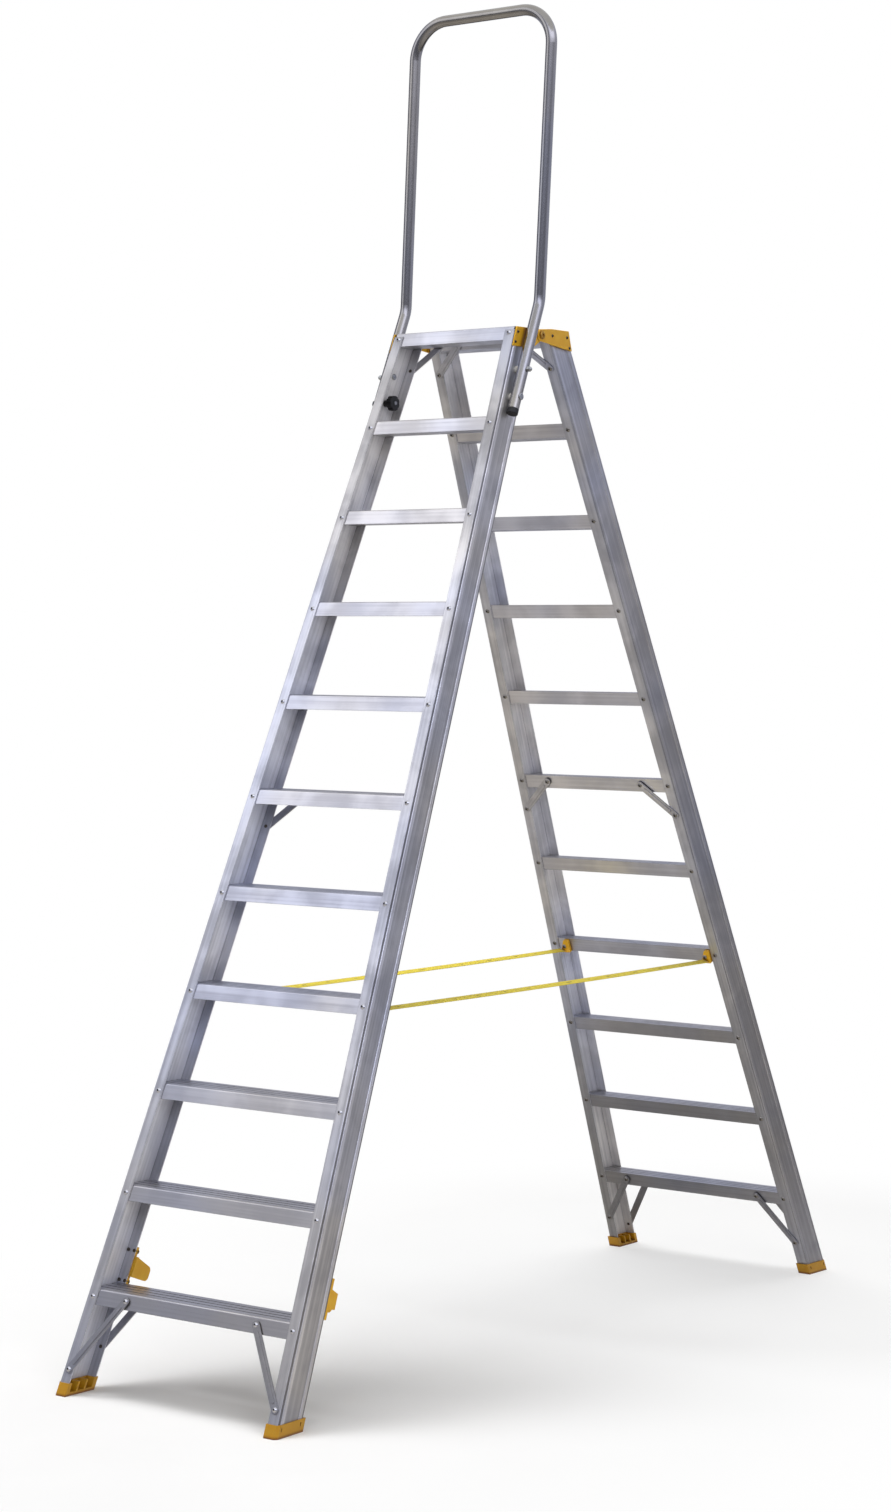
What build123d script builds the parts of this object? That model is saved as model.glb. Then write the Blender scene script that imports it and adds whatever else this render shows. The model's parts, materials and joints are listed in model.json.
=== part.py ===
from build123d import *
import os
from math import asin, cos, degrees, radians, sin, sqrt, tan

# Twin-frame stepladder with a hand hoop. Millimetres and degrees.
# +Z is up, the front frame stands on the -Y side, and the hinge axis runs along X,
# a little in front of the middle between the frames, which is above the origin.

# Both frames
tread_count = 11
first_tread_height = 244.0
tread_rise = 240.0
frame_lean = 23.0
stile_splay = 2.96
pivot_half_width = 196.5
pivot_gap = 26.5
pivot_drop = 17.0

# Stiles: channels open inwards, with two raised bands along the web
stile_depth = 86.0
stile_flange = 30.0
flange_wall = 3.0
web_wall = 2.0
stile_corner = 3.0
stile_top_drop = 9.0
band_height = 1.5
front_band_inset = 8.0
front_band_width = 13.0
rear_band_inset = 6.0
rear_band_width = 12.0

# Treads: hollow, with a rounded nose and a grooved top
tread_height = 36.0
tread_wall = 1.8
tread_top_wall = 3.2
tread_nose = 5.0
tread_end_gap = 0.5
groove_count = 3
groove_pitch = 21.0
groove_width = 5.0
groove_depth = 1.5

# Dome rivets
rivet_drop = 17.0
rivet_inset = 17.0
rivet_head_radius = 6.5
rivet_head_height = 4.0
rivet_shank_radius = 3.0
rivet_tail_radius = 4.5
rivet_tail_height = 2.0
rivet_clearance = 0.05

# Braces: ribbed strips from a tread's face down to the flange below it
brace_width = 20.0
brace_thickness = 3.0
brace_rib_width = 8.0
brace_rib_height = 1.5
brace_boss_radius = 7.0
upper_brace_reach = 90.0
upper_brace_drop = 81.0
lower_brace_reach = 90.0
lower_brace_drop = 131.0
outer_brace_reach = 110.0
outer_brace_drop = 167.0
middle_brace_tread = 6
bottom_brace_tread = 1

# Shoes
shoe_height = 30.0
shoe_sole = 8.0
shoe_wall = 3.0
shoe_chamfer = 7.0
shoe_clearance = 0.2
shoe_rib = 5.0
shoe_cell_count = 3
shoe_slot_width = 3.0
shoe_slot_height = 9.0
shoe_slot_inset = 11.0

# Hinge plates, bolts and nuts
hinge_advance = 10.0
hinge_eye_radius = 16.0
front_plate_edge = 1.4
front_eye_thickness = 8.0
front_plate_low = 36.0
front_plate_setback = 2.0
leaf_gap = 0.4
rear_leaf_thickness = 3.4
rear_plate_top = 20.0
rear_plate_low = 32.0
rear_plate_top_length = 114.0
rear_plate_low_length = 129.0
rear_plate_step = 36.0
plate_chamfer = 1.0
plate_rivet_inset = 10.0
rear_plate_rivet_inset = 15.0
plate_rivet_rise = 2.0
plate_rivet_fall = 25.0
plate_rivet_head_radius = 4.2
plate_rivet_head_height = 2.4
hinge_bolt_radius = 5.0
hinge_head_radius = 10.0
hinge_head_height = 5.0
hinge_socket_flats = 8.0
hinge_socket_depth = 3.0
hinge_nut_flats = 17.0
hinge_nut_height = 8.0
hinge_bolt_tail = 2.0
pin_clearance = 0.05

# Hand hoop
hoop_web_gap = 1.2
hoop_waist = 5.3
hoop_rise = 865.5
hoop_bend_rise = 85.0
hoop_lean = 3.6
hoop_leg_drop = 203.0
hoop_corner = 99.0
hoop_bend_radius = 90.0
tube_radius = 15.0
tube_wall = 2.0
plug_length = 16.0
plug_spigot = 18.0
plug_edge = 3.0
plug_clearance = 0.1
spacer_radius = 10.0
saddle_clearance = 0.05
upper_bolt_drop = 98.0
upper_bolt_radius = 4.0
upper_head_radius = 8.0
upper_head_height = 4.0
dome_nut_flats = 13.0
dome_nut_height = 7.0
dome_radius = 6.0
bolt_engagement = 5.0

# Clamp bolts and knobs
clamp_bolt_drop = 171.0
clamp_bolt_radius = 5.0
clamp_head_radius = 9.0
clamp_head_height = 2.5
knob_radius = 20.0
knob_thickness = 16.0
knob_hub_radius = 9.0
knob_hub_length = 18.0
knob_flute_count = 8
knob_flute_radius = 4.0
knob_flute_offset = 22.0
knob_edge = 1.5
clamp_bolt_tail = 2.0
seat_gap = 0.1

# Transport catches
catch_tread = 1
catch_rise = 12.0
catch_height = 90.0
catch_plate_thickness = 8.0
catch_outboard = 16.0
catch_rivet_spread = 19.0
catch_rivet_shift = -0.5
catch_rivet_inset = 11.0
catch_arm_height = 50.0
catch_arm_tip = 35.0
catch_arm_tip_rise = 5.5
catch_arm_thickness = 9.0
catch_arm_reach = 60.0
catch_arm_clearance = 1.6
catch_arm_nose = 12.0
catch_wall_thickness = 5.0
catch_wall_reach = 32.0
catch_wall_taper = 6.0
catch_wall_edge = 2.0

# Straps and their clips
strap_tread = 4
strap_inset = 29.4
strap_drop = 18.0
strap_width = 20.0
strap_thickness = 2.0
strap_tilt = 21.0
strap_end_gap = 0.3
clip_width = 32.0
clip_top_width = 16.0
clip_height = 38.0
clip_drop = 3.0
clip_proud = 8.0
clip_inset = 34.4
clip_shift = 4.0
clip_edge = 3.0

# Places worked out from the driving dimensions
lean = radians(frame_lean)
splay = radians(stile_splay)
platform_height = first_tread_height + (tread_count - 1) * tread_rise
pivot_height = platform_height - pivot_drop
stile_top = platform_height - stile_top_drop
outer_face = pivot_gap + stile_depth
front_wall_face = outer_face - flange_wall
rear_wall_face = pivot_gap + flange_wall
stile_reach = (pivot_height + 2 * outer_face) / (cos(lean) * cos(splay))
rivet_hole = rivet_shank_radius + rivet_clearance
tread_numbers = range(1, tread_count + 1)

# Frame plane of the front frame: x across, y up along the frame, z out of its front face
front_plane = Plane(origin=(0, 0, pivot_height), x_dir=(1, 0, 0), z_dir=(0, -cos(lean), sin(lean)))
rear_plane = Plane(origin=(0, 0, pivot_height), x_dir=(1, 0, 0), z_dir=(0, cos(lean), sin(lean)))

# Section plane of the right front stile: x out of the web, y from the front face inwards
stile_up = front_plane.x_dir * -sin(splay) + front_plane.y_dir * cos(splay)
stile_out = front_plane.x_dir * cos(splay) + front_plane.y_dir * sin(splay)
stile_plane = Plane(
    origin=front_plane.from_local_coords((pivot_half_width, 0, outer_face)),
    x_dir=stile_out,
    z_dir=stile_up,
)


def face_y(height, out):
    """Y of the front frame's plane at a height, out from the middle towards the front."""
    return (height - pivot_height) * tan(lean) - out / cos(lean)


def along(height, out):
    """Distance up the front frame, from the hinge's height, of a height on the plane at out."""
    return (height - pivot_height - out * sin(lean)) / cos(lean)


def half_width(distance):
    """Half width over the webs at a distance up the frame."""
    return pivot_half_width - distance * tan(splay)


def web_x(y, height):
    """X of the right front web's outer face at a place seen from the side."""
    return half_width(y * sin(lean) + (height - pivot_height) * cos(lean))


def web_inner_x(y, height):
    """X of the right front web's inner face at a place seen from the side."""
    return web_x(y, height) - web_wall / cos(splay)


def rivet_line(distance):
    """X of the line of rivets in the flanges at a distance up the frame."""
    return half_width(distance) - rivet_inset / cos(splay)


def tread_top(number):
    """Height of a tread's top, counted from the lowest."""
    return first_tread_height + (number - 1) * tread_rise


def rivet_level(number):
    """Height of the rivets of a tread."""
    return tread_top(number) - rivet_drop


def rivet_spot(number, out):
    """Place in the frame plane of a tread's right rivet in the flange at out."""
    distance = along(rivet_level(number), out)
    return (rivet_line(distance), distance)


def seat(spot, out, facing):
    """Plane at a place in the frame plane, looking out of the front (1) or of the inner side (-1)."""
    return Plane(
        origin=front_plane.from_local_coords((spot[0], spot[1], out)),
        x_dir=front_plane.x_dir,
        z_dir=front_plane.z_dir * facing,
    )


def side_seat(x, spot):
    """Plane on a side face, looking along +X."""
    return Plane(origin=(x, spot[0], spot[1]), x_dir=(0, 1, 0), z_dir=(1, 0, 0))


def mirrored(piece, about):
    """A mirror image of a finished piece."""
    with BuildPart() as image:
        add(piece)
        mirror(about=about, mode=Mode.REPLACE)
    return image.part


def write(piece, name):
    """Label a finished piece and write it."""
    piece.label = name
    export_step(piece, f"parts/{name}.step")


def write_pair(piece, name):
    """Write a right-hand piece and its left-hand mirror image, with the side in the name."""
    write(piece, name.format("right"))
    write(mirrored(piece, Plane.YZ), name.format("left"))


os.makedirs("parts", exist_ok=True)

# Side view places (y, z) of what passes through the webs
hoop_out = outer_face - stile_depth / 2
hoop_foot_height = pivot_height - hoop_leg_drop
hoop_foot_distance = along(hoop_foot_height, hoop_out) - plug_length
hoop_half_width = half_width(hoop_foot_distance) + hoop_web_gap + tube_radius
hoop_bend_height = pivot_height + hoop_bend_rise
hoop_draw = hoop_waist / (hoop_bend_height - hoop_foot_height)
hinge_axis = (-hinge_advance, pivot_height)


def hoop_leg_x(height):
    """X of the right leg's centre line below the bend. The legs draw together upwards."""
    return hoop_half_width - hoop_draw * (height - hoop_foot_height)


def hoop_seat(spot, radius):
    """X of a flat seat of a radius against the outer side of the right leg."""
    return hoop_leg_x(spot[1]) + tube_radius + hoop_draw * radius + seat_gap


def hoop_spot(drop):
    """Place on the hoop leg's centre line below the height of the hinge axis."""
    height = pivot_height - drop
    return (face_y(height, hoop_out), height)


def outer_edge_spot(rise, inset):
    """Hinge plate rivet beside the outer edge of the web, as on the front frame."""
    height = pivot_height + rise
    return (face_y(height, outer_face - inset), height)


def inner_edge_spot(rise):
    """Hinge plate rivet beside the inner edge of the web, as on the front frame."""
    height = pivot_height + rise
    return (face_y(height, pivot_gap + plate_rivet_inset), height)


upper_bolt_spot = hoop_spot(upper_bolt_drop)
clamp_bolt_spot = hoop_spot(clamp_bolt_drop)
plate_rivet_rises = (plate_rivet_rise, -plate_rivet_fall)
front_plate_spots = [outer_edge_spot(rise, plate_rivet_inset) for rise in plate_rivet_rises]
rear_plate_spots = [outer_edge_spot(rise, rear_plate_rivet_inset) for rise in plate_rivet_rises]
rear_plate_spots.append(inner_edge_spot(plate_rivet_rise))


# Braces: (tread, plane of the face, facing, reach inwards, drop)
def brace_spots(number, out, reach, drop):
    """Frame plane places of a right brace's upper and lower rivets."""
    top = along(rivet_level(number), out)
    foot = along(rivet_level(number) - drop, out)
    return (rivet_line(top) - reach, top), (rivet_line(foot), foot)


upper_braces = [
    (number, brace_spots(number, pivot_gap, upper_brace_reach, upper_brace_drop), pivot_gap, -1)
    for number in (tread_count, middle_brace_tread)
]
lower_braces = [
    (number, brace_spots(number, out, reach, drop), out, facing)
    for number, out, reach, drop, facing in (
        (bottom_brace_tread, pivot_gap, lower_brace_reach, lower_brace_drop, -1),
        (bottom_brace_tread, outer_face, outer_brace_reach, outer_brace_drop, 1),
    )
]
all_braces = upper_braces + lower_braces

# Strap clips: places in the frame plane on the inner side of one tread
clip_distance = along(rivet_level(strap_tread), rear_wall_face) - clip_drop
clip_line = rivet_line(clip_distance) - clip_inset
clip_spots = [(clip_shift + clip_line, clip_distance), (clip_shift - clip_line, clip_distance)]

# Transport catch: a plane on the right stile's inner flange face, x outwards, z towards the rear
catch_middle = along(rivet_level(catch_tread) + catch_rise + catch_height / 2, pivot_gap)
catch_length = catch_height / cos(lean)
catch_plane = Plane(
    origin=front_plane.from_local_coords((rivet_line(catch_middle), catch_middle, pivot_gap)),
    x_dir=stile_out,
    z_dir=-front_plane.z_dir,
)
catch_rivet_spots = [
    (catch_rivet_shift + column * catch_rivet_spread / 2, row * (catch_length / 2 - catch_rivet_inset))
    for column in (-1, 1)
    for row in (-1, 1)
]


# Stiles
def stile_section(grow):
    """Channel section in the current sketch, every face moved out by grow."""
    with Locations((grow, -grow)):
        Rectangle(stile_flange + 2 * grow, stile_depth + 2 * grow, align=(Align.MAX, Align.MIN))
    fillet(vertices().group_by(Axis.X)[-1], stile_corner + grow)
    with Locations((-web_wall - grow, stile_depth / 2)):
        Rectangle(
            stile_flange,
            stile_depth - 2 * flange_wall - 2 * grow,
            align=(Align.MAX, Align.CENTER),
            mode=Mode.SUBTRACT,
        )
    rear_band_start = stile_depth - rear_band_inset - rear_band_width
    for start, width in ((front_band_inset, front_band_width), (rear_band_start, rear_band_width)):
        root = -web_wall / 2
        top = band_height + grow
        low = start - grow
        high = start + width + grow
        Polygon(
            (root, low),
            (0, low),
            (top, low + band_height),
            (top, high - band_height),
            (0, high),
            (root, high),
            align=None,
        )


def stile(side_holes):
    """Right front channel, with holes along X for what passes through its web."""
    with BuildPart() as channel:
        with BuildSketch(stile_plane.offset(-stile_reach)):
            stile_section(0.0)
        extrude(amount=stile_reach + stile_depth)
        split(bisect_by=Plane.XY.offset(stile_top), keep=Keep.BOTTOM)
        split(bisect_by=Plane.XY.offset(shoe_sole), keep=Keep.TOP)
        with BuildSketch(front_plane.offset(outer_face)):
            with Locations(*[rivet_spot(number, outer_face) for number in tread_numbers]):
                Circle(rivet_hole)
            with Locations(*[spots[1] for _, spots, out, _ in all_braces if out == outer_face]):
                Circle(rivet_hole)
        extrude(amount=-2 * flange_wall, mode=Mode.SUBTRACT)
        with BuildSketch(front_plane.offset(pivot_gap)):
            with Locations(*[rivet_spot(number, pivot_gap) for number in tread_numbers]):
                Circle(rivet_hole)
            with Locations(*[spots[1] for _, spots, out, _ in all_braces if out == pivot_gap]):
                Circle(rivet_hole)
        extrude(amount=2 * flange_wall, mode=Mode.SUBTRACT)
        for spot, radius in side_holes:
            with BuildSketch(side_seat(web_x(*spot), spot)):
                Circle(radius)
            extrude(amount=stile_flange / 2, both=True, mode=Mode.SUBTRACT)
    return channel.part


plate_holes = [(spot, rivet_hole) for spot in front_plate_spots]
hoop_holes = [
    (upper_bolt_spot, upper_bolt_radius + pin_clearance),
    (clamp_bolt_spot, clamp_bolt_radius + pin_clearance),
]
with BuildPart() as front_right_stile:
    add(stile(plate_holes + hoop_holes))
    with BuildSketch(catch_plane):
        with Locations(*catch_rivet_spots):
            Circle(rivet_hole)
    extrude(amount=-2 * flange_wall, mode=Mode.SUBTRACT)
write_pair(front_right_stile.part, "front_{}_stile")

with BuildPart() as rear_right_stile:
    add(stile([(spot, rivet_hole) for spot in rear_plate_spots]))
    mirror(about=Plane.XZ, mode=Mode.REPLACE)
write_pair(rear_right_stile.part, "rear_{}_stile")


# Treads
def tread_outline(low, high, front, rear):
    """Four-sided section between two heights and two planes of the front frame."""
    Polyline(
        (face_y(low, front), low),
        (face_y(low, rear), low),
        (face_y(high, rear), high),
        (face_y(high, front), high),
        close=True,
    )


def tread_half_length(number):
    """Half length that clears the webs at the tread's narrowest corner."""
    narrowest = half_width(along(tread_top(number), rear_wall_face))
    return narrowest - web_wall / cos(splay) - tread_end_gap


def tread(number):
    """Hollow front tread, with the rivet holes of its two long walls."""
    top = tread_top(number)
    bottom = top - tread_height
    half_length = tread_half_length(number)
    rear_edge = face_y(top, rear_wall_face)
    wall_braces = [(spots[0], out) for owner, spots, out, _ in all_braces if owner == number]
    front_holes = [rivet_spot(number, outer_face)]
    front_holes += [spot for spot, out in wall_braces if out == outer_face]
    rear_holes = [rivet_spot(number, pivot_gap)]
    rear_holes += [spot for spot, out in wall_braces if out == pivot_gap]
    with BuildPart() as step:
        with BuildSketch(Plane.YZ):
            with BuildLine():
                tread_outline(bottom, top, front_wall_face, rear_wall_face)
            make_face()
            fillet(vertices().group_by(Axis.Y)[-1].sort_by(Axis.X)[0], tread_nose)
            for index in range(groove_count):
                with Locations((rear_edge - (index + 1) * groove_pitch, top)):
                    Rectangle(
                        groove_width,
                        groove_depth,
                        align=(Align.CENTER, Align.MAX),
                        mode=Mode.SUBTRACT,
                    )
            with BuildLine():
                tread_outline(
                    bottom + tread_wall,
                    top - tread_top_wall,
                    front_wall_face - tread_wall,
                    rear_wall_face + tread_wall,
                )
            make_face(mode=Mode.SUBTRACT)
        extrude(amount=half_length, both=True)
        with BuildSketch(front_plane.offset(front_wall_face)):
            with Locations(*front_holes):
                Circle(rivet_hole)
            mirror(about=Plane.YZ)
        extrude(amount=-2 * tread_wall, mode=Mode.SUBTRACT)
        with BuildSketch(front_plane.offset(rear_wall_face)):
            with Locations(*rear_holes):
                Circle(rivet_hole)
            mirror(about=Plane.YZ)
            if number == strap_tread:
                with Locations(*clip_spots):
                    Circle(rivet_hole)
        extrude(amount=2 * tread_wall, mode=Mode.SUBTRACT)
    return step.part


for number in tread_numbers:
    front_tread = tread(number)
    write(front_tread, f"front_tread_{number:02d}")
    write(mirrored(front_tread, Plane.XZ), f"rear_tread_{number:02d}")


# Rivets
def dome_rivet(grip, head_radius=rivet_head_radius, head_height=rivet_head_height):
    """Rivet through grip, its head above the XY plane and its tail below the grip."""
    dome = (head_radius**2 + head_height**2) / (2 * head_height)
    edge_angle = degrees(asin((dome - head_height) / dome))
    tail_end = -grip - rivet_tail_height
    with BuildPart() as rivet:
        with BuildSketch(Plane.XZ):
            with BuildLine():
                CenterArc((0, head_height - dome), dome, edge_angle, 90 - edge_angle)
                Polyline(
                    (0, head_height),
                    (0, tail_end),
                    (rivet_tail_radius, tail_end),
                    (rivet_tail_radius, -grip),
                    (rivet_shank_radius, -grip),
                    (rivet_shank_radius, 0),
                    (head_radius, 0),
                )
            make_face()
        revolve(axis=Axis.Z)
    return rivet.part


tread_rivet = dome_rivet(flange_wall + tread_wall)
tread_seats = [seat(rivet_spot(number, outer_face), outer_face, 1) for number in tread_numbers]
tread_seats += [seat(rivet_spot(number, pivot_gap), pivot_gap, -1) for number in tread_numbers]
with BuildPart() as front_tread_rivets:
    with Locations(*tread_seats):
        add(tread_rivet)
    mirror(about=Plane.YZ)
write(front_tread_rivets.part, "front_tread_rivets")
write(mirrored(front_tread_rivets.part, Plane.XZ), "rear_tread_rivets")

# Braces
brace_rivet_top = dome_rivet(brace_thickness + flange_wall + tread_wall)
brace_rivet_foot = dome_rivet(brace_thickness + flange_wall)


def brace(spots, out, facing):
    """Right brace on the face at out: a strip with a rib, seated on the tread by a round boss."""
    top = Vector(*spots[0])
    foot = Vector(*spots[1])
    run = (foot - top).normalized()
    length = (foot - top).length
    strip_plane = Plane(
        origin=front_plane.from_local_coords((top.X, top.Y, out)),
        x_dir=front_plane.x_dir * run.X + front_plane.y_dir * run.Y,
        z_dir=front_plane.z_dir * facing,
    )
    with BuildPart() as strip:
        with BuildSketch(strip_plane):
            with Locations((length / 2, 0)):
                SlotCenterToCenter(length, brace_width)
        extrude(amount=brace_thickness)
        with BuildSketch(strip_plane.offset(brace_thickness)):
            with Locations((length / 2, 0)):
                SlotCenterToCenter(length - 2 * brace_width, brace_rib_width)
        extrude(amount=brace_rib_height)
        with BuildSketch(strip_plane):
            Circle(brace_boss_radius)
        extrude(amount=-flange_wall)
        with BuildSketch(strip_plane.offset(brace_thickness)):
            with Locations((0, 0), (length, 0)):
                Circle(rivet_hole)
        extrude(amount=-2 * (brace_thickness + flange_wall), mode=Mode.SUBTRACT)
    return strip.part


def brace_group(braces):
    """Right and left braces of one set."""
    with BuildPart() as group:
        for _, spots, out, facing in braces:
            add(brace(spots, out, facing))
        mirror(about=Plane.YZ)
    return group.part


for name, braces in (("upper", upper_braces), ("lower", lower_braces)):
    front_braces = brace_group(braces)
    write(front_braces, f"front_{name}_braces")
    write(mirrored(front_braces, Plane.XZ), f"rear_{name}_braces")

top_seats = [seat(spots[0], out + facing * brace_thickness, facing) for _, spots, out, facing in all_braces]
foot_seats = [seat(spots[1], out + facing * brace_thickness, facing) for _, spots, out, facing in all_braces]
with BuildPart() as brace_rivets:
    with Locations(*top_seats):
        add(brace_rivet_top)
    with Locations(*foot_seats):
        add(brace_rivet_foot)
    mirror(about=Plane.YZ)

# Shoes
with BuildPart() as shoe_socket:
    with BuildSketch(stile_plane.offset(-stile_reach)):
        stile_section(shoe_clearance)
        cell_start = flange_wall + shoe_clearance + shoe_rib
        cell_pitch = (stile_depth - 2 * cell_start + shoe_rib) / shoe_cell_count
        with Locations((-web_wall - shoe_clearance - shoe_rib, stile_depth / 2)):
            with GridLocations(0, cell_pitch, 1, shoe_cell_count):
                Rectangle(
                    stile_flange + shoe_wall,
                    cell_pitch - shoe_rib,
                    align=(Align.MAX, Align.CENTER),
                )
    extrude(amount=stile_reach)
    split(bisect_by=Plane.XY.offset(shoe_sole), keep=Keep.TOP)

shoe_side_x = band_height + shoe_wall
with BuildPart() as front_right_shoe:
    with BuildSketch(stile_plane.offset(-stile_reach)):
        with Locations((shoe_side_x, -shoe_wall)):
            Rectangle(
                stile_flange + shoe_side_x + shoe_wall,
                stile_depth + 2 * shoe_wall,
                align=(Align.MAX, Align.MIN),
            )
        chamfer(vertices().group_by(Axis.X)[-1].sort_by(Axis.Y)[0], shoe_chamfer)
    extrude(amount=stile_reach)
    split(bisect_by=Plane.XY.offset(shoe_height), keep=Keep.BOTTOM)
    split(bisect_by=Plane.XY, keep=Keep.TOP)
    add(shoe_socket.part, mode=Mode.SUBTRACT)
    slot_level = (shoe_sole + shoe_height) / 2
    for inset in (shoe_slot_inset, stile_depth - shoe_slot_inset):
        slot_y = face_y(slot_level, outer_face - inset)
        slot_x = web_x(slot_y, slot_level) + shoe_side_x
        slot_plane = Plane(origin=(slot_x, slot_y, slot_level), x_dir=-front_plane.z_dir, z_dir=stile_out)
        with BuildSketch(slot_plane):
            Rectangle(shoe_slot_width, shoe_slot_height)
        extrude(amount=shoe_side_x, both=True, mode=Mode.SUBTRACT)
write_pair(front_right_shoe.part, "front_{}_shoe")
write_pair(mirrored(front_right_shoe.part, Plane.XZ), "rear_{}_shoe")

# Front hinge plates: on the front webs, with the inner leaf's eye
front_low_height = pivot_height - front_plate_low
front_top_height = pivot_height + hinge_eye_radius
front_plate_plane = outer_face - front_plate_setback
front_low_y = face_y(front_low_height, front_plate_plane)
front_plate_out = web_x(front_low_y, front_low_height) + band_height + front_plate_edge
web_band_plane = Plane(origin=stile_plane.from_local_coords((band_height, 0, 0)), z_dir=stile_out)
with BuildPart() as front_right_hinge_plate:
    with BuildSketch(Plane.YZ.offset(front_plate_out)):
        with BuildLine():
            Polyline(
                (front_low_y, front_low_height),
                (face_y(front_top_height, front_plate_plane), front_top_height),
                (hinge_axis[0], front_top_height),
                (hinge_axis[0], pivot_height - hinge_eye_radius),
                (face_y(front_low_height, pivot_gap), front_low_height),
                close=True,
            )
        make_face()
    extrude(amount=-front_plate_out / 2)
    split(bisect_by=web_band_plane, keep=Keep.TOP)
    with BuildSketch(Plane.YZ.offset(front_plate_out)):
        with Locations(hinge_axis):
            Circle(hinge_eye_radius)
    extrude(amount=-front_eye_thickness)
    chamfer(faces().sort_by(Axis.X)[-1].edges(), plate_chamfer)
    with BuildSketch(Plane.YZ.offset(front_plate_out)):
        with Locations(hinge_axis):
            Circle(hinge_bolt_radius + pin_clearance)
        with Locations(*front_plate_spots):
            Circle(rivet_hole)
    extrude(amount=-front_plate_out / 2, mode=Mode.SUBTRACT)
write_pair(front_right_hinge_plate.part, "front_{}_hinge_plate")

# Rear hinge plates: on the rear webs, with the outer leaf's eye
rear_leaf_in = front_plate_out + leaf_gap
rear_plate_out = rear_leaf_in + rear_leaf_thickness
rear_band_plane = Plane(
    origin=(web_band_plane.origin.X, -web_band_plane.origin.Y, web_band_plane.origin.Z),
    z_dir=(stile_out.X, -stile_out.Y, stile_out.Z),
)
rear_spots = [(-spot[0], spot[1]) for spot in rear_plate_spots]


def rear_plate_outline():
    """Outline of the rear plate without its eye."""
    Polyline(
        (hinge_axis[0], pivot_height + hinge_eye_radius),
        (rear_plate_step, pivot_height + rear_plate_top),
        (rear_plate_top_length, pivot_height + rear_plate_top),
        (rear_plate_low_length, pivot_height - rear_plate_low),
        (hinge_axis[0], pivot_height - hinge_eye_radius),
        close=True,
    )


with BuildPart() as rear_right_hinge_plate:
    with BuildSketch(Plane.YZ.offset(rear_leaf_in)):
        with BuildLine():
            rear_plate_outline()
        make_face()
        with Locations(hinge_axis):
            Circle(hinge_eye_radius)
    extrude(amount=rear_leaf_thickness)
    chamfer(faces().sort_by(Axis.X)[-1].edges(), plate_chamfer)
    with BuildSketch(Plane.YZ.offset(rear_leaf_in)):
        with BuildLine():
            rear_plate_outline()
        make_face()
        with Locations((rear_plate_step, pivot_height)):
            Rectangle(
                2 * rear_plate_step,
                2 * rear_plate_low_length,
                align=(Align.MAX, Align.CENTER),
                mode=Mode.SUBTRACT,
            )
    extrude(amount=-rear_plate_out / 2)
    split(bisect_by=rear_band_plane, keep=Keep.TOP)
    with BuildSketch(Plane.YZ.offset(rear_plate_out)):
        with Locations(hinge_axis):
            Circle(hinge_bolt_radius + pin_clearance)
        with Locations(*rear_spots):
            Circle(rivet_hole)
    extrude(amount=-rear_plate_out / 2, mode=Mode.SUBTRACT)
write_pair(rear_right_hinge_plate.part, "rear_{}_hinge_plate")

# Hinge bolts and nuts
front_eye_in = front_plate_out - front_eye_thickness
with BuildPart() as hinge_bolts:
    with BuildSketch(side_seat(rear_plate_out + leaf_gap, hinge_axis)):
        Circle(hinge_head_radius)
    extrude(amount=hinge_head_height)
    fillet(faces().sort_by(Axis.X)[-1].edges(), hinge_head_height / 2)
    with BuildSketch(side_seat(rear_plate_out + leaf_gap, hinge_axis)):
        Circle(hinge_bolt_radius)
    extrude(amount=front_eye_in - hinge_nut_height - hinge_bolt_tail - rear_plate_out - leaf_gap)
    with BuildSketch(side_seat(rear_plate_out + leaf_gap + hinge_head_height, hinge_axis)):
        RegularPolygon(hinge_socket_flats / 2, 6, major_radius=False)
    extrude(amount=-hinge_socket_depth, mode=Mode.SUBTRACT)
    mirror(about=Plane.YZ)
write(hinge_bolts.part, "hinge_bolts")

with BuildPart() as hinge_nuts:
    with BuildSketch(side_seat(front_eye_in, hinge_axis)):
        RegularPolygon(hinge_nut_flats / 2, 6, major_radius=False)
        Circle(hinge_bolt_radius + pin_clearance, mode=Mode.SUBTRACT)
    extrude(amount=-hinge_nut_height)
    mirror(about=Plane.YZ)
write(hinge_nuts.part, "hinge_nuts")

# Hinge plate, clip and catch rivets, grouped with the brace rivets of their frame
tail_lift = rivet_tail_radius * tan(splay) + seat_gap


def plate_rivet(plate_out, spot):
    """Rivet along X through a hinge plate and the right front web."""
    grip = plate_out - web_inner_x(*spot) + tail_lift
    return dome_rivet(grip, plate_rivet_head_radius, plate_rivet_head_height)


clip_rivet = dome_rivet(clip_proud + flange_wall + tread_wall)
clip_seats = [seat(spot, pivot_gap - clip_proud, -1) for spot in clip_spots]
catch_rivet = dome_rivet(catch_plate_thickness + flange_wall)
catch_seats = [
    Plane(
        origin=catch_plane.from_local_coords((spot[0], spot[1], catch_plate_thickness)),
        z_dir=catch_plane.z_dir,
    )
    for spot in catch_rivet_spots
]
with BuildPart() as front_fixing_rivets:
    for spot in front_plate_spots:
        with Locations(side_seat(front_plate_out, spot)):
            add(plate_rivet(front_plate_out, spot))
    with Locations(*catch_seats):
        add(catch_rivet)
    mirror(about=Plane.YZ)
    with Locations(*clip_seats):
        add(clip_rivet)
    add(brace_rivets.part)
write(front_fixing_rivets.part, "front_fixing_rivets")

with BuildPart() as rear_fixing_rivets:
    for spot in rear_plate_spots:
        with Locations(side_seat(rear_plate_out, spot)):
            add(plate_rivet(rear_plate_out, spot))
    mirror(about=Plane.YZ)
    with Locations(*clip_seats):
        add(clip_rivet)
    add(brace_rivets.part)
    mirror(about=Plane.XZ, mode=Mode.REPLACE)
write(rear_fixing_rivets.part, "rear_fixing_rivets")

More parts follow.
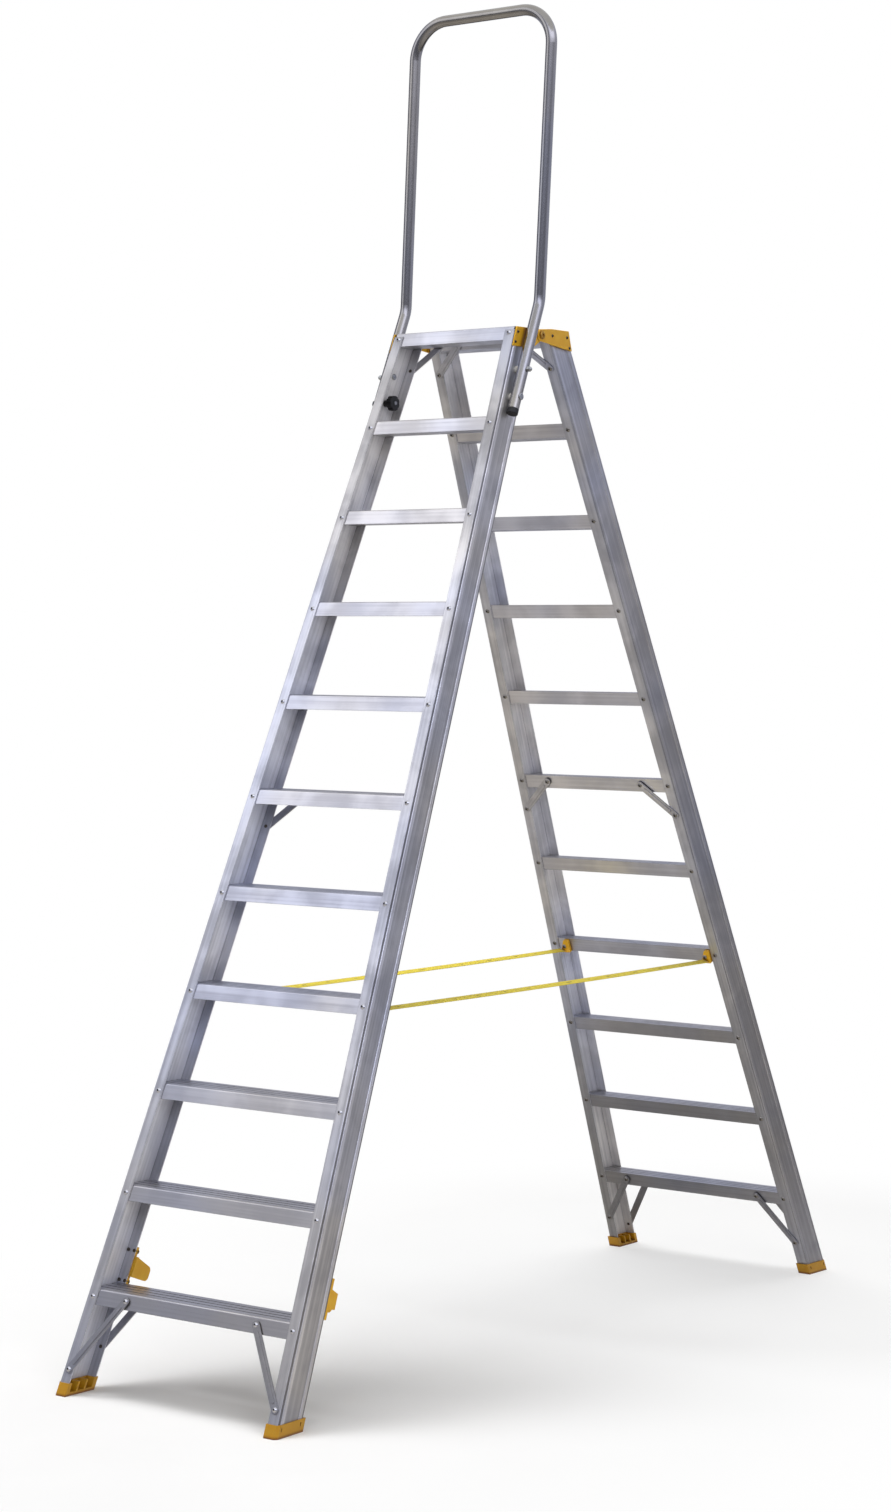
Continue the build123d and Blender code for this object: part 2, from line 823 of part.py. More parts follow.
# Hand hoop
hoop_bend_y = face_y(hoop_bend_height, hoop_out)
hoop_top_y = hoop_bend_y + (hoop_rise - hoop_bend_rise) * tan(radians(hoop_lean))
leg_points = [
    (hoop_half_width, face_y(hoop_foot_height, hoop_out), hoop_foot_height),
    (hoop_leg_x(hoop_bend_height), hoop_bend_y, hoop_bend_height),
    (hoop_half_width, hoop_top_y, pivot_height + hoop_rise),
]
far_leg_points = [(-x, y, z) for x, y, z in reversed(leg_points)]
leg_up = Vector(*leg_points[1]) - Vector(*leg_points[0])
foot_plane = Plane(origin=leg_points[0], x_dir=(1, 0, 0), z_dir=leg_up)
with BuildPart() as hand_hoop:
    with BuildLine() as hoop_path:
        FilletPolyline(
            *leg_points,
            *far_leg_points,
            radius=[hoop_bend_radius, hoop_corner, hoop_corner, hoop_bend_radius],
        )
    with BuildSketch(foot_plane):
        Circle(tube_radius)
        Circle(tube_radius - tube_wall, mode=Mode.SUBTRACT)
    sweep(path=hoop_path.wires()[0])
    for spot, radius in hoop_holes:
        with BuildSketch(side_seat(0, spot)):
            Circle(radius)
        extrude(amount=hoop_half_width + 2 * tube_radius, both=True, mode=Mode.SUBTRACT)
write(hand_hoop.part, "hand_hoop")

with BuildPart() as hoop_end_plugs:
    with BuildSketch(foot_plane):
        Circle(tube_radius)
    extrude(amount=-plug_length)
    fillet(edges().group_by(Axis.Z)[0], plug_edge)
    with BuildSketch(foot_plane):
        Circle(tube_radius - tube_wall - plug_clearance)
    extrude(amount=plug_spigot)
    mirror(about=Plane.YZ)
write(hoop_end_plugs.part, "hoop_end_plugs")

# Saddle spacers between the webs and the hoop's legs
web_plane = Plane(origin=stile_plane.origin, z_dir=stile_out)
with BuildPart() as hoop_spacers:
    for spot, radius in hoop_holes:
        with BuildSketch(side_seat(hoop_half_width, spot)):
            Circle(spacer_radius)
            Circle(radius, mode=Mode.SUBTRACT)
        extrude(amount=-hoop_half_width / 2)
    split(bisect_by=web_plane, keep=Keep.TOP)
    with BuildSketch(foot_plane):
        Circle(tube_radius + saddle_clearance)
    extrude(amount=hoop_leg_drop, mode=Mode.SUBTRACT)
    mirror(about=Plane.YZ)
write(hoop_spacers.part, "hoop_spacers")

# Upper hoop bolts with dome nuts
nut_seat = hoop_seat(upper_bolt_spot, dome_nut_flats / sqrt(3))
upper_head_seat = web_inner_x(*upper_bolt_spot) - upper_head_radius * tan(splay) - seat_gap
with BuildPart() as hoop_bolts:
    with BuildSketch(side_seat(upper_head_seat, upper_bolt_spot)):
        Circle(upper_head_radius)
    extrude(amount=-upper_head_height)
    fillet(faces().sort_by(Axis.X)[0].edges(), upper_head_height / 2)
    with BuildSketch(side_seat(upper_head_seat, upper_bolt_spot)):
        Circle(upper_bolt_radius)
    extrude(amount=nut_seat - upper_head_seat + bolt_engagement)
    mirror(about=Plane.YZ)
write(hoop_bolts.part, "hoop_bolts")

with BuildPart() as hoop_dome_nuts:
    with BuildSketch(side_seat(nut_seat, upper_bolt_spot)):
        RegularPolygon(dome_nut_flats / 2, 6, major_radius=False)
    extrude(amount=dome_nut_height)
    with BuildSketch(Plane.XZ.offset(-upper_bolt_spot[0])):
        with BuildLine():
            dome_centre = (nut_seat + dome_nut_height, upper_bolt_spot[1])
            CenterArc(dome_centre, dome_radius, 0, 90)
            Line((dome_centre[0], dome_centre[1] + dome_radius), dome_centre)
            Line(dome_centre, (dome_centre[0] + dome_radius, dome_centre[1]))
        make_face()
    revolve(axis=Axis((dome_centre[0], upper_bolt_spot[0], dome_centre[1]), (1, 0, 0)))
    with BuildSketch(side_seat(nut_seat, upper_bolt_spot)):
        Circle(upper_bolt_radius + pin_clearance)
    extrude(amount=bolt_engagement + seat_gap, mode=Mode.SUBTRACT)
    mirror(about=Plane.YZ)
write(hoop_dome_nuts.part, "hoop_dome_nuts")

# Clamp bolts and their knobs inside the channels
clamp_seat = hoop_seat(clamp_bolt_spot, clamp_head_radius)
knob_seat = web_inner_x(*clamp_bolt_spot) - knob_hub_radius * tan(splay) - seat_gap
knob_length = knob_hub_length + knob_thickness
with BuildPart() as clamp_bolts:
    with BuildSketch(side_seat(clamp_seat, clamp_bolt_spot)):
        Circle(clamp_head_radius)
    extrude(amount=clamp_head_height)
    fillet(faces().sort_by(Axis.X)[-1].edges(), clamp_head_height / 2)
    with BuildSketch(side_seat(clamp_seat, clamp_bolt_spot)):
        Circle(clamp_bolt_radius)
    extrude(amount=knob_seat - knob_length - clamp_bolt_tail - clamp_seat)
    mirror(about=Plane.YZ)
write(clamp_bolts.part, "clamp_bolts")

with BuildPart() as right_clamp_knob:
    with BuildSketch(side_seat(knob_seat, clamp_bolt_spot)):
        Circle(knob_hub_radius)
    extrude(amount=-knob_hub_length)
    with BuildSketch(side_seat(knob_seat - knob_hub_length, clamp_bolt_spot)):
        Circle(knob_radius)
        with PolarLocations(knob_flute_offset, knob_flute_count):
            Circle(knob_flute_radius, mode=Mode.SUBTRACT)
    extrude(amount=-knob_thickness)
    chamfer(faces().sort_by(Axis.X)[0].edges(), knob_edge)
    with BuildSketch(side_seat(knob_seat, clamp_bolt_spot)):
        Circle(clamp_bolt_radius + pin_clearance)
    extrude(amount=-knob_length, mode=Mode.SUBTRACT)
write_pair(right_clamp_knob.part, "{}_clamp_knob")

# Transport catches: a plate on the inner flange, an arm that reaches past the folded frame's flange and,
# on the plate's outboard edge, a lower wall
flange_tip = stile_flange - rivet_inset
arm_outer_x = -flange_tip - catch_arm_clearance
arm_inner_x = arm_outer_x - catch_arm_thickness
arm_plane = Plane(
    origin=catch_plane.from_local_coords((arm_outer_x, 0, 0)),
    x_dir=catch_plane.z_dir,
    z_dir=-catch_plane.x_dir,
)
wall_plane = Plane(
    origin=catch_plane.from_local_coords((catch_outboard, 0, 0)),
    x_dir=catch_plane.z_dir,
    z_dir=-catch_plane.x_dir,
)
with BuildPart() as right_transport_catch:
    with BuildSketch(catch_plane):
        with Locations((catch_outboard, 0)):
            Rectangle(catch_outboard + flange_tip, catch_length, align=(Align.MAX, Align.CENTER))
            Rectangle(catch_outboard - arm_inner_x, catch_arm_height, align=(Align.MAX, Align.CENTER))
    extrude(amount=catch_plate_thickness)
    with BuildSketch(arm_plane):
        Polygon(
            (0, -catch_arm_height / 2),
            (catch_arm_reach, catch_arm_tip_rise - catch_arm_tip / 2),
            (catch_arm_reach, catch_arm_tip_rise + catch_arm_tip / 2),
            (0, catch_arm_height / 2),
            align=None,
        )
        fillet(vertices().group_by(Axis.X)[-1], catch_arm_nose)
    extrude(amount=catch_arm_thickness)
    with BuildSketch(wall_plane):
        Polygon(
            (0, -catch_arm_height / 2),
            (catch_wall_reach, catch_wall_taper - catch_arm_height / 2),
            (catch_wall_reach, catch_arm_height / 2 - catch_wall_taper),
            (0, catch_arm_height / 2),
            align=None,
        )
        fillet(vertices().group_by(Axis.X)[-1], catch_wall_edge)
    extrude(amount=catch_wall_thickness)
    with BuildSketch(catch_plane):
        with Locations(*catch_rivet_spots):
            Circle(rivet_hole)
    extrude(amount=2 * catch_plate_thickness, mode=Mode.SUBTRACT)
write_pair(right_transport_catch.part, "{}_transport_catch")

# Strap clips on the inner side of one tread of each frame: the same taper on both sides
with BuildPart() as front_strap_clips:
    for spot in clip_spots:
        with BuildSketch(front_plane.offset(rear_wall_face)):
            with Locations(spot):
                Polygon(
                    (-clip_width / 2, -clip_height / 2),
                    (clip_width / 2, -clip_height / 2),
                    (clip_width / 2, clip_height / 2),
                    (clip_width / 2 - clip_top_width, clip_height / 2),
                    align=None,
                )
            fillet(vertices(), clip_edge)
        extrude(amount=-flange_wall - clip_proud)
    chamfer(faces().filter_by(Axis((0, 0, 0), front_plane.z_dir)).edges(), clip_edge / 3)
    with BuildSketch(front_plane.offset(rear_wall_face)):
        with Locations(*clip_spots):
            Circle(rivet_hole)
    extrude(amount=-2 * (flange_wall + clip_proud), mode=Mode.SUBTRACT)
write(front_strap_clips.part, "front_strap_clips")
write(mirrored(front_strap_clips.part, Plane.XZ), "rear_strap_clips")

# Straps: level webbing between the clips, tilted about its length
strap_end = pivot_gap - clip_proud - strap_end_gap
strap_level = rivet_level(strap_tread) - strap_drop
strap_line = rivet_line(clip_distance) - strap_inset
strap_reach = pivot_height - strap_level
for name, side in (("right", 1), ("left", -1)):
    with BuildPart() as strap:
        with BuildSketch(Plane.XZ):
            with Locations((side * strap_line, strap_level)):
                Rectangle(strap_width, strap_thickness, rotation=-strap_tilt)
        extrude(amount=strap_reach, both=True)
        split(bisect_by=front_plane.offset(strap_end), keep=Keep.BOTTOM)
        split(bisect_by=rear_plane.offset(strap_end), keep=Keep.BOTTOM)
    write(strap.part, f"{name}_strap")
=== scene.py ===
import json
import math

import bmesh
import bpy
from mathutils import Matrix, Vector


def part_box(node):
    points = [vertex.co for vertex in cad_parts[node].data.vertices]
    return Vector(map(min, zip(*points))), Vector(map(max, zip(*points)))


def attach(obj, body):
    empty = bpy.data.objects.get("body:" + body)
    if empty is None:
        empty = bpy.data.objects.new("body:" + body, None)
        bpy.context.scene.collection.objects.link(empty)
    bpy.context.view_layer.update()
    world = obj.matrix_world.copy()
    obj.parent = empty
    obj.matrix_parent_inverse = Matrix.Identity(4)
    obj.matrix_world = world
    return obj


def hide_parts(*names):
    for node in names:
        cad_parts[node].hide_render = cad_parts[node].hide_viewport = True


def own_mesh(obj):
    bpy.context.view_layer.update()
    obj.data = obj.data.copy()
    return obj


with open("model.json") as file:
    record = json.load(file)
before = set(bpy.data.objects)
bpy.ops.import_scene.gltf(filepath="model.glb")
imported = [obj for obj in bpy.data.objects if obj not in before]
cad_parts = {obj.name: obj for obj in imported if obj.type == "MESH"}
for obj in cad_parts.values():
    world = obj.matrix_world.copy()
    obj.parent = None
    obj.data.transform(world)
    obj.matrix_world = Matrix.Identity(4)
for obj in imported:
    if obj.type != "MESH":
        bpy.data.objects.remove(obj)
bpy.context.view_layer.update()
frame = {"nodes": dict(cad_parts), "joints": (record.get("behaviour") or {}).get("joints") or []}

# Twin-frame stepladder with a hand hoop. Metres, +Z up, the front frame on the -Y side.
mm = 0.001
frames = ("front", "rear")
sides = ("right", "left")
fold = next(joint for joint in frame["joints"] if joint["name"] == "frame_fold")
hinge_place = Vector(fold["pos_m"])
frame_lean = math.radians(-fold["range_deg"][0] / 2)
stile_splay = math.radians(2.96)

# A Mix node has sockets for each kind of value. These are the ones for colours.
colour_a, colour_b, colour_out = 6, 7, 2

# Rays that look for rounded edges and for hollows at each point
edge_samples = 4
hollow_samples = 6

# How alike the flat and the rounded normal are where an edge begins, and where it is whole
edge_begins = 0.985
edge_whole = 0.88

# Corners this close are one
merge_reach = 0.01 * mm


def linear(code):
    """Linear RGBA of an sRGB hex colour."""
    channels = [int(code[start:start + 2], 16) / 255 for start in (0, 2, 4)]
    return (*[c / 12.92 if c <= 0.04045 else ((c + 0.055) / 1.055) ** 2.4 for c in channels], 1.0)


def add_node(tree, kind, inputs=None, **settings):
    """A node with its settings, and with its inputs set to values or linked to other nodes' outputs."""
    made = tree.nodes.new(kind)
    for name, value in settings.items():
        setattr(made, name, value)
    for socket, value in (inputs or {}).items():
        if isinstance(value, bpy.types.NodeSocket):
            tree.links.new(value, made.inputs[socket])
        else:
            made.inputs[socket].default_value = value
    return made


def new_material(name):
    """A new material with its node tree, its shader and the place of each point of the piece."""
    material = bpy.data.materials.new(name)
    material.use_nodes = True
    tree = material.node_tree
    place = add_node(tree, "ShaderNodeTexCoord").outputs["Object"]
    return material, tree, tree.nodes["Principled BSDF"], place


def rounded_edge(tree, radius):
    """Normal that rounds the sharp edges off, and how near an edge each point is, from 0 to 1."""
    rounded = add_node(tree, "ShaderNodeBevel", {"Radius": radius}, samples=edge_samples).outputs[0]
    flat = add_node(tree, "ShaderNodeNewGeometry").outputs["Normal"]
    alike = add_node(
        tree, "ShaderNodeVectorMath", {0: rounded, 1: flat}, operation="DOT_PRODUCT"
    ).outputs["Value"]
    cornered = add_node(
        tree, "ShaderNodeMapRange", {"Value": alike, "From Min": edge_begins, "From Max": edge_whole}
    ).outputs[0]
    return rounded, cornered


# Stile, out from the ladder's middle, with the edges of the web's raised bands out from its inner edge
stile_inner = 26.5 * mm
inner_out = 31 * mm
outer_out = 108 * mm
stile_outer = 112.5 * mm
band_steps = (6 * mm, 18 * mm, 65 * mm, 78 * mm)


def out_of_middle(tree, place):
    """How far a point lies out from the plane of its frame's lean through the top of the middle."""
    folded = add_node(tree, "ShaderNodeVectorMath", {0: place}, operation="ABSOLUTE").outputs[0]
    facing = (0, math.cos(frame_lean), math.sin(frame_lean))
    out = add_node(
        tree, "ShaderNodeVectorMath", {0: folded, 1: facing}, operation="DOT_PRODUCT"
    ).outputs["Value"]
    top = hinge_place.z * math.sin(frame_lean)
    return add_node(tree, "ShaderNodeMath", {0: out, 1: top}, operation="SUBTRACT").outputs[0]


# Aluminium's oxide clouds, warm and cool patches, painted shade on edges, in corners and at the feet, die
# lines
cloud_size = 120 * mm
cloud_share = 0.6  # the rest is die lines
cloud_low, cloud_high = 0.36, 0.64
patch_size = 420 * mm
patch_low, patch_high = 0.38, 0.62
foot_shade_rise = 900 * mm
foot_shade_share = 0.6
corner_shade_reach = 5 * mm
corner_shade_low, corner_shade_high = 0.3, 0.85
line_depth = 0.3 * mm


def mill_aluminium(name, turn, line, pale, deep, dull, bright, bloom, corner_shade, relief, edge, rounding=1.2 * mm):
    """Mill-finish extruded aluminium: satin grey, with lines from the die along the profile.

    Oxide clouds it in cool and warm patches and, as bloom, scatters some of the light like chalk. A dark line
    along the edges is painted shade, painted shade sits in grooves and corners, and the metal is painted
    darker in patches towards the feet as shade. Relief is how deep the die lines bite. They are drawn several
    millimetres apart, wider than real ones, so that they show.
    """
    material, tree, shader, place = new_material(name)
    # Left and right, front and rear mirror each other, so one turn lays the lines along every copy
    folded = add_node(tree, "ShaderNodeVectorMath", {0: place}, operation="ABSOLUTE").outputs[0]
    turned = add_node(tree, "ShaderNodeMapping", {"Vector": folded, "Rotation": turn}).outputs[0]
    stretch = [1 / size for size in line]
    stretched = add_node(tree, "ShaderNodeMapping", {"Vector": turned, "Scale": stretch}).outputs[0]
    lines = add_node(
        tree, "ShaderNodeTexNoise", {"Vector": stretched, "Scale": 1.0, "Detail": 4.0}
    ).outputs[0]
    clouds = add_node(
        tree,
        "ShaderNodeTexNoise",
        {"Vector": place, "Scale": 1 / cloud_size, "Detail": 3.0, "Distortion": 0.4},
    ).outputs[0]
    patches = add_node(tree, "ShaderNodeTexNoise", {"Vector": place, "Scale": 1 / patch_size}).outputs[0]
    mixed = add_node(
        tree, "ShaderNodeMix", {"Factor": cloud_share, "A": lines, "B": clouds}, data_type="FLOAT"
    ).outputs[0]
    spread = add_node(
        tree,
        "ShaderNodeMapRange",
        {"Value": mixed, "From Min": cloud_low, "From Max": cloud_high},
        interpolation_type="SMOOTHSTEP",
    ).outputs[0]
    grey = add_node(
        tree,
        "ShaderNodeMix",
        {"Factor": spread, colour_a: linear(deep), colour_b: linear(pale)},
        data_type="RGBA",
    ).outputs[colour_out]
    warmth = add_node(
        tree, "ShaderNodeMapRange", {"Value": patches, "From Min": patch_low, "From Max": patch_high}
    ).outputs[0]
    tint = add_node(
        tree,
        "ShaderNodeMix",
        {"Factor": warmth, colour_a: linear("F3F5FF"), colour_b: linear("FFFBF5")},
        data_type="RGBA",
    ).outputs[colour_out]
    tinted = add_node(
        tree,
        "ShaderNodeMix",
        {"Factor": 1.0, colour_a: grey, colour_b: tint},
        data_type="RGBA",
        blend_type="MULTIPLY",
    ).outputs[colour_out]
    rounded, cornered = rounded_edge(tree, rounding)
    # Painted shade: a dark line in the edge colour along every edge
    edge_shaded = add_node(
        tree,
        "ShaderNodeMix",
        {"Factor": cornered, colour_a: tinted, colour_b: linear(edge)},
        data_type="RGBA",
    ).outputs[colour_out]
    # Painted shade: darker in patches towards the feet, in a warm grey
    height = add_node(tree, "ShaderNodeSeparateXYZ", {"Vector": place}).outputs["Z"]
    low = add_node(
        tree,
        "ShaderNodeMapRange",
        {"Value": height, "From Min": foot_shade_rise, "From Max": 0.0, "To Max": foot_shade_share},
    ).outputs[0]
    foot_shade = add_node(tree, "ShaderNodeMath", {0: low, 1: clouds}, operation="MULTIPLY").outputs[0]
    foot_shaded = add_node(
        tree,
        "ShaderNodeMix",
        {"Factor": foot_shade, colour_a: edge_shaded, colour_b: linear("8C8987")},
        data_type="RGBA",
    ).outputs[colour_out]
    # Painted shade: grooves, corners and hollows turn a dark grey, as far as the corner number asks
    hollow = add_node(
        tree, "ShaderNodeAmbientOcclusion", {"Distance": corner_shade_reach}, samples=hollow_samples
    ).outputs["AO"]
    unshaded = add_node(
        tree,
        "ShaderNodeMapRange",
        {"Value": hollow, "From Min": corner_shade_low, "From Max": corner_shade_high, "To Min": 1 - corner_shade},
    ).outputs[0]
    colour = add_node(
        tree,
        "ShaderNodeMix",
        {"Factor": unshaded, colour_a: linear("6E6B68"), colour_b: foot_shaded},
        data_type="RGBA",
    ).outputs[colour_out]
    rough = add_node(
        tree, "ShaderNodeMapRange", {"Value": spread, "To Min": dull, "To Max": bright}
    ).outputs[0]
    grooved = add_node(
        tree,
        "ShaderNodeBump",
        {"Height": lines, "Strength": relief, "Distance": line_depth, "Normal": rounded},
    ).outputs[0]
    shader.inputs["Metallic"].default_value = 1 - bloom
    for socket, value in (("Base Color", colour), ("Roughness", rough), ("Normal", grooved)):
        tree.links.new(value, shader.inputs[socket])
    return material


# Painted light and shade on a stile, and its matt inside
web_facing = 0.7  # the part of a face's normal across the ladder from which it counts as the web
underside_facing = -0.2  # the part of it upwards, below which a flange's face counts as an inside
flange_pale_to = 2.0  # the outer flange keeps its low-down value up to here
flange_dark_from = 2.35
rear_profile_share = 0.3  # share of the front frame's bands and strips kept on the rear frame
# Painted shade: the rear frame's web turns to this darker tone
rear_tone = (0.8, 0.79, 0.78, 1)
rear_from = 50 * mm  # behind here it is the rear frame
inside_metallic = 0.3


def stile_light_and_shade(material, strips, web, bands, inside, flange_low, flange_high):
    """Painted light and shade on a stile: pale raised bands, dark strips beside them, a paler matt inside.

    Each value multiplies the metal's own colour. The bands are a painted highlight, the strips painted shade
    and the paler inside painted light. The flange's value goes from its low-down one, up to 2 m, to its top
    one, from 2.35 m. On the rear frame the web is painted darker as shade, with fainter bands.
    """
    tree = material.node_tree
    shader = tree.nodes["Principled BSDF"]
    coordinates = add_node(tree, "ShaderNodeTexCoord").outputs
    place = add_node(tree, "ShaderNodeSeparateXYZ", {"Vector": coordinates["Object"]}).outputs
    normal = add_node(tree, "ShaderNodeSeparateXYZ", {"Vector": coordinates["Normal"]}).outputs
    side = add_node(tree, "ShaderNodeMath", {0: place["X"]}, operation="SIGN").outputs[0]
    outward = add_node(tree, "ShaderNodeMath", {0: normal["X"], 1: side}, operation="MULTIPLY").outputs[0]
    on_web = add_node(
        tree, "ShaderNodeMath", {0: outward, 1: web_facing}, operation="GREATER_THAN"
    ).outputs[0]
    behind_web = add_node(
        tree, "ShaderNodeMath", {0: outward, 1: -web_facing}, operation="LESS_THAN"
    ).outputs[0]
    out = out_of_middle(tree, coordinates["Object"])
    outer = add_node(tree, "ShaderNodeMath", {0: out, 1: outer_out}, operation="GREATER_THAN").outputs[0]
    downward = add_node(
        tree, "ShaderNodeMath", {0: normal["Z"], 1: underside_facing}, operation="LESS_THAN"
    ).outputs[0]
    under_flange = add_node(
        tree, "ShaderNodeMath", {0: outer, 1: downward}, operation="MULTIPLY"
    ).outputs[0]
    in_channel = add_node(
        tree, "ShaderNodeMath", {0: behind_web, 1: under_flange}, operation="MAXIMUM"
    ).outputs[0]
    across = add_node(
        tree, "ShaderNodeMapRange", {"Value": out, "From Min": stile_inner, "From Max": stile_outer}
    ).outputs[0]
    # Painted highlight on the raised bands and painted shade on the strips beside them
    profile = add_node(tree, "ShaderNodeValToRGB", {0: across})
    steps = profile.color_ramp
    steps.interpolation = "CONSTANT"
    steps.elements.remove(steps.elements[1])
    steps.elements[0].color = (strips, strips, strips, 1)
    for start, value in zip(band_steps, (bands, web, bands, strips)):
        steps.elements.new(start / (stile_outer - stile_inner)).color = (value, value, value, 1)
    # Painted shade: the rear frame's web is darker, with fainter bands
    front_share = add_node(
        tree,
        "ShaderNodeMapRange",
        {"Value": place["Y"], "From Min": 0.0, "From Max": rear_from, "To Min": 1.0, "To Max": rear_profile_share},
    ).outputs[0]
    web_tone = add_node(
        tree,
        "ShaderNodeMix",
        {"Factor": front_share, colour_a: rear_tone, colour_b: profile.outputs[0]},
        data_type="RGBA",
    ).outputs[colour_out]
    toned_by_place = add_node(
        tree,
        "ShaderNodeMapRange",
        {
            "Value": place["Z"],
            "From Min": flange_pale_to,
            "From Max": flange_dark_from,
            "To Min": flange_low,
            "To Max": flange_high,
        },
    ).outputs[0]
    flange = add_node(
        tree, "ShaderNodeMix", {"Factor": outer, "A": 1.0, "B": toned_by_place}, data_type="FLOAT"
    ).outputs[0]
    # Painted light: the channel's inside is paler
    flange_and_inside_tone = add_node(
        tree, "ShaderNodeMix", {"Factor": in_channel, "A": flange, "B": inside}, data_type="FLOAT"
    ).outputs[0]
    stile_tone = add_node(
        tree, "ShaderNodeMix", {"Factor": on_web, colour_a: flange_and_inside_tone, colour_b: web_tone}, data_type="RGBA"
    ).outputs[colour_out]
    colour = shader.inputs["Base Color"].links[0].from_socket
    stile_toned = add_node(
        tree,
        "ShaderNodeMix",
        {"Factor": 1.0, colour_a: colour, colour_b: stile_tone},
        data_type="RGBA",
        blend_type="MULTIPLY",
    ).outputs[colour_out]
    tree.links.new(stile_toned, shader.inputs["Base Color"])
    metallic = shader.inputs["Metallic"]
    matt = add_node(
        tree,
        "ShaderNodeMapRange",
        {"Value": in_channel, "To Min": metallic.default_value, "To Max": inside_metallic},
    ).outputs[0]
    tree.links.new(matt, metallic)


# Plastic's grain, faded patches, rounded edges with a painted highlight, painted shade in corners, darker low
# down
grain_size = 1.5 * mm
grain_depth = 0.15 * mm
grain_strength = 0.2
fade_size = 22 * mm
fade_low, fade_high = 0.42, 0.72
faded_rougher = 0.14
moulding_round = 1.0 * mm
moulding_shade_reach = 10 * mm
corner_low, corner_high = 0.25, 0.9
sole_low = 1 * mm
sole_high = 7 * mm
floor_dark_to = 60 * mm
floor_dark_ends = 200 * mm
floor_dark_keep = 0.58  # what is left of the plastic's own colour
plastic_ior = 1.49


def moulded_plastic(name, main, faded, painted_edge_highlight, shade_and_floor_tone, roughness):
    """Injection-moulded plastic: spark-eroded grain, faded patches, painted edge highlight, painted corner
    shade.

    Near the floor it turns darker, most of all at the sole. The grain is drawn a millimetre and a half wide,
    coarser than the real one, so that it shows.
    """
    material, tree, shader, place = new_material(name)
    grain = add_node(
        tree, "ShaderNodeTexNoise", {"Vector": place, "Scale": 1 / grain_size, "Detail": 2.0}
    ).outputs[0]
    patches = add_node(
        tree, "ShaderNodeTexNoise", {"Vector": place, "Scale": 1 / fade_size, "Detail": 4.0}
    ).outputs[0]
    fade = add_node(
        tree, "ShaderNodeMapRange", {"Value": patches, "From Min": fade_low, "From Max": fade_high}
    ).outputs[0]
    colour = add_node(
        tree,
        "ShaderNodeMix",
        {"Factor": fade, colour_a: linear(main), colour_b: linear(faded)},
        data_type="RGBA",
    ).outputs[colour_out]
    rounded, cornered = rounded_edge(tree, moulding_round)
    # Painted highlight: rounded edges turn pale
    toned_by_place = add_node(
        tree,
        "ShaderNodeMix",
        {"Factor": cornered, colour_a: colour, colour_b: linear(painted_edge_highlight)},
        data_type="RGBA",
    ).outputs[colour_out]
    # Painted shade in corners and hollows, in the dark tone
    hollow = add_node(
        tree, "ShaderNodeAmbientOcclusion", {"Distance": moulding_shade_reach}, samples=hollow_samples
    ).outputs["AO"]
    unshaded = add_node(
        tree, "ShaderNodeMapRange", {"Value": hollow, "From Min": corner_low, "From Max": corner_high}
    ).outputs[0]
    # Darker at the sole and towards the floor, mixed to the dark tone
    height = add_node(tree, "ShaderNodeSeparateXYZ", {"Vector": place}).outputs["Z"]
    above_sole = add_node(
        tree, "ShaderNodeMapRange", {"Value": height, "From Min": sole_low, "From Max": sole_high}
    ).outputs[0]
    off_floor = add_node(
        tree,
        "ShaderNodeMapRange",
        {"Value": height, "From Min": floor_dark_to, "From Max": floor_dark_ends, "To Min": floor_dark_keep},
    ).outputs[0]
    lifted = add_node(tree, "ShaderNodeMath", {0: above_sole, 1: off_floor}, operation="MULTIPLY").outputs[0]
    own_colour_share = add_node(tree, "ShaderNodeMath", {0: unshaded, 1: lifted}, operation="MULTIPLY").outputs[0]
    shaded_and_darkened = add_node(
        tree,
        "ShaderNodeMix",
        {"Factor": own_colour_share, colour_a: linear(shade_and_floor_tone), colour_b: toned_by_place},
        data_type="RGBA",
    ).outputs[colour_out]
    rough = add_node(
        tree,
        "ShaderNodeMapRange",
        {"Value": patches, "To Min": roughness, "To Max": roughness + faded_rougher},
    ).outputs[0]
    relief = add_node(
        tree,
        "ShaderNodeBump",
        {"Height": grain, "Strength": grain_strength, "Distance": grain_depth, "Normal": rounded},
    ).outputs[0]
    shader.inputs["IOR"].default_value = plastic_ior
    for socket, value in (("Base Color", shaded_and_darkened), ("Roughness", rough), ("Normal", relief)):
        tree.links.new(value, shader.inputs[socket])
    return material


# Plated steel's spangles, smears and rounded edges
spangle_size = 2.5 * mm
smear_size = 6 * mm
steel_round = 0.5 * mm


def zinc_plated_steel(name, pale, deep, rough_low, rough_high):
    """Plated or plain steel of bolts, nuts and rivet stems: small pale and deep spangles."""
    material, tree, shader, place = new_material(name)
    spangle = add_node(
        tree, "ShaderNodeTexVoronoi", {"Vector": place, "Scale": 1 / spangle_size}
    ).outputs["Distance"]
    smear = add_node(
        tree, "ShaderNodeTexNoise", {"Vector": place, "Scale": 1 / smear_size, "Detail": 3.0}
    ).outputs[0]
    mixed = add_node(
        tree, "ShaderNodeMix", {"Factor": 0.5, "A": spangle, "B": smear}, data_type="FLOAT"
    ).outputs[0]
    colour = add_node(
        tree,
        "ShaderNodeMix",
        {"Factor": mixed, colour_a: linear(pale), colour_b: linear(deep)},
        data_type="RGBA",
    ).outputs[colour_out]
    rough = add_node(
        tree, "ShaderNodeMapRange", {"Value": mixed, "To Min": rough_low, "To Max": rough_high}
    ).outputs[0]
    rounded, _ = rounded_edge(tree, steel_round)
    shader.inputs["Metallic"].default_value = 1.0
    for socket, value in (("Base Color", colour), ("Roughness", rough), ("Normal", rounded)):
        tree.links.new(value, shader.inputs[socket])
    return material


# Smears that the setting tool leaves on a rivet's head
rivet_smear = 5 * mm
rivet_smooth = 0.2
rivet_rough = 0.36


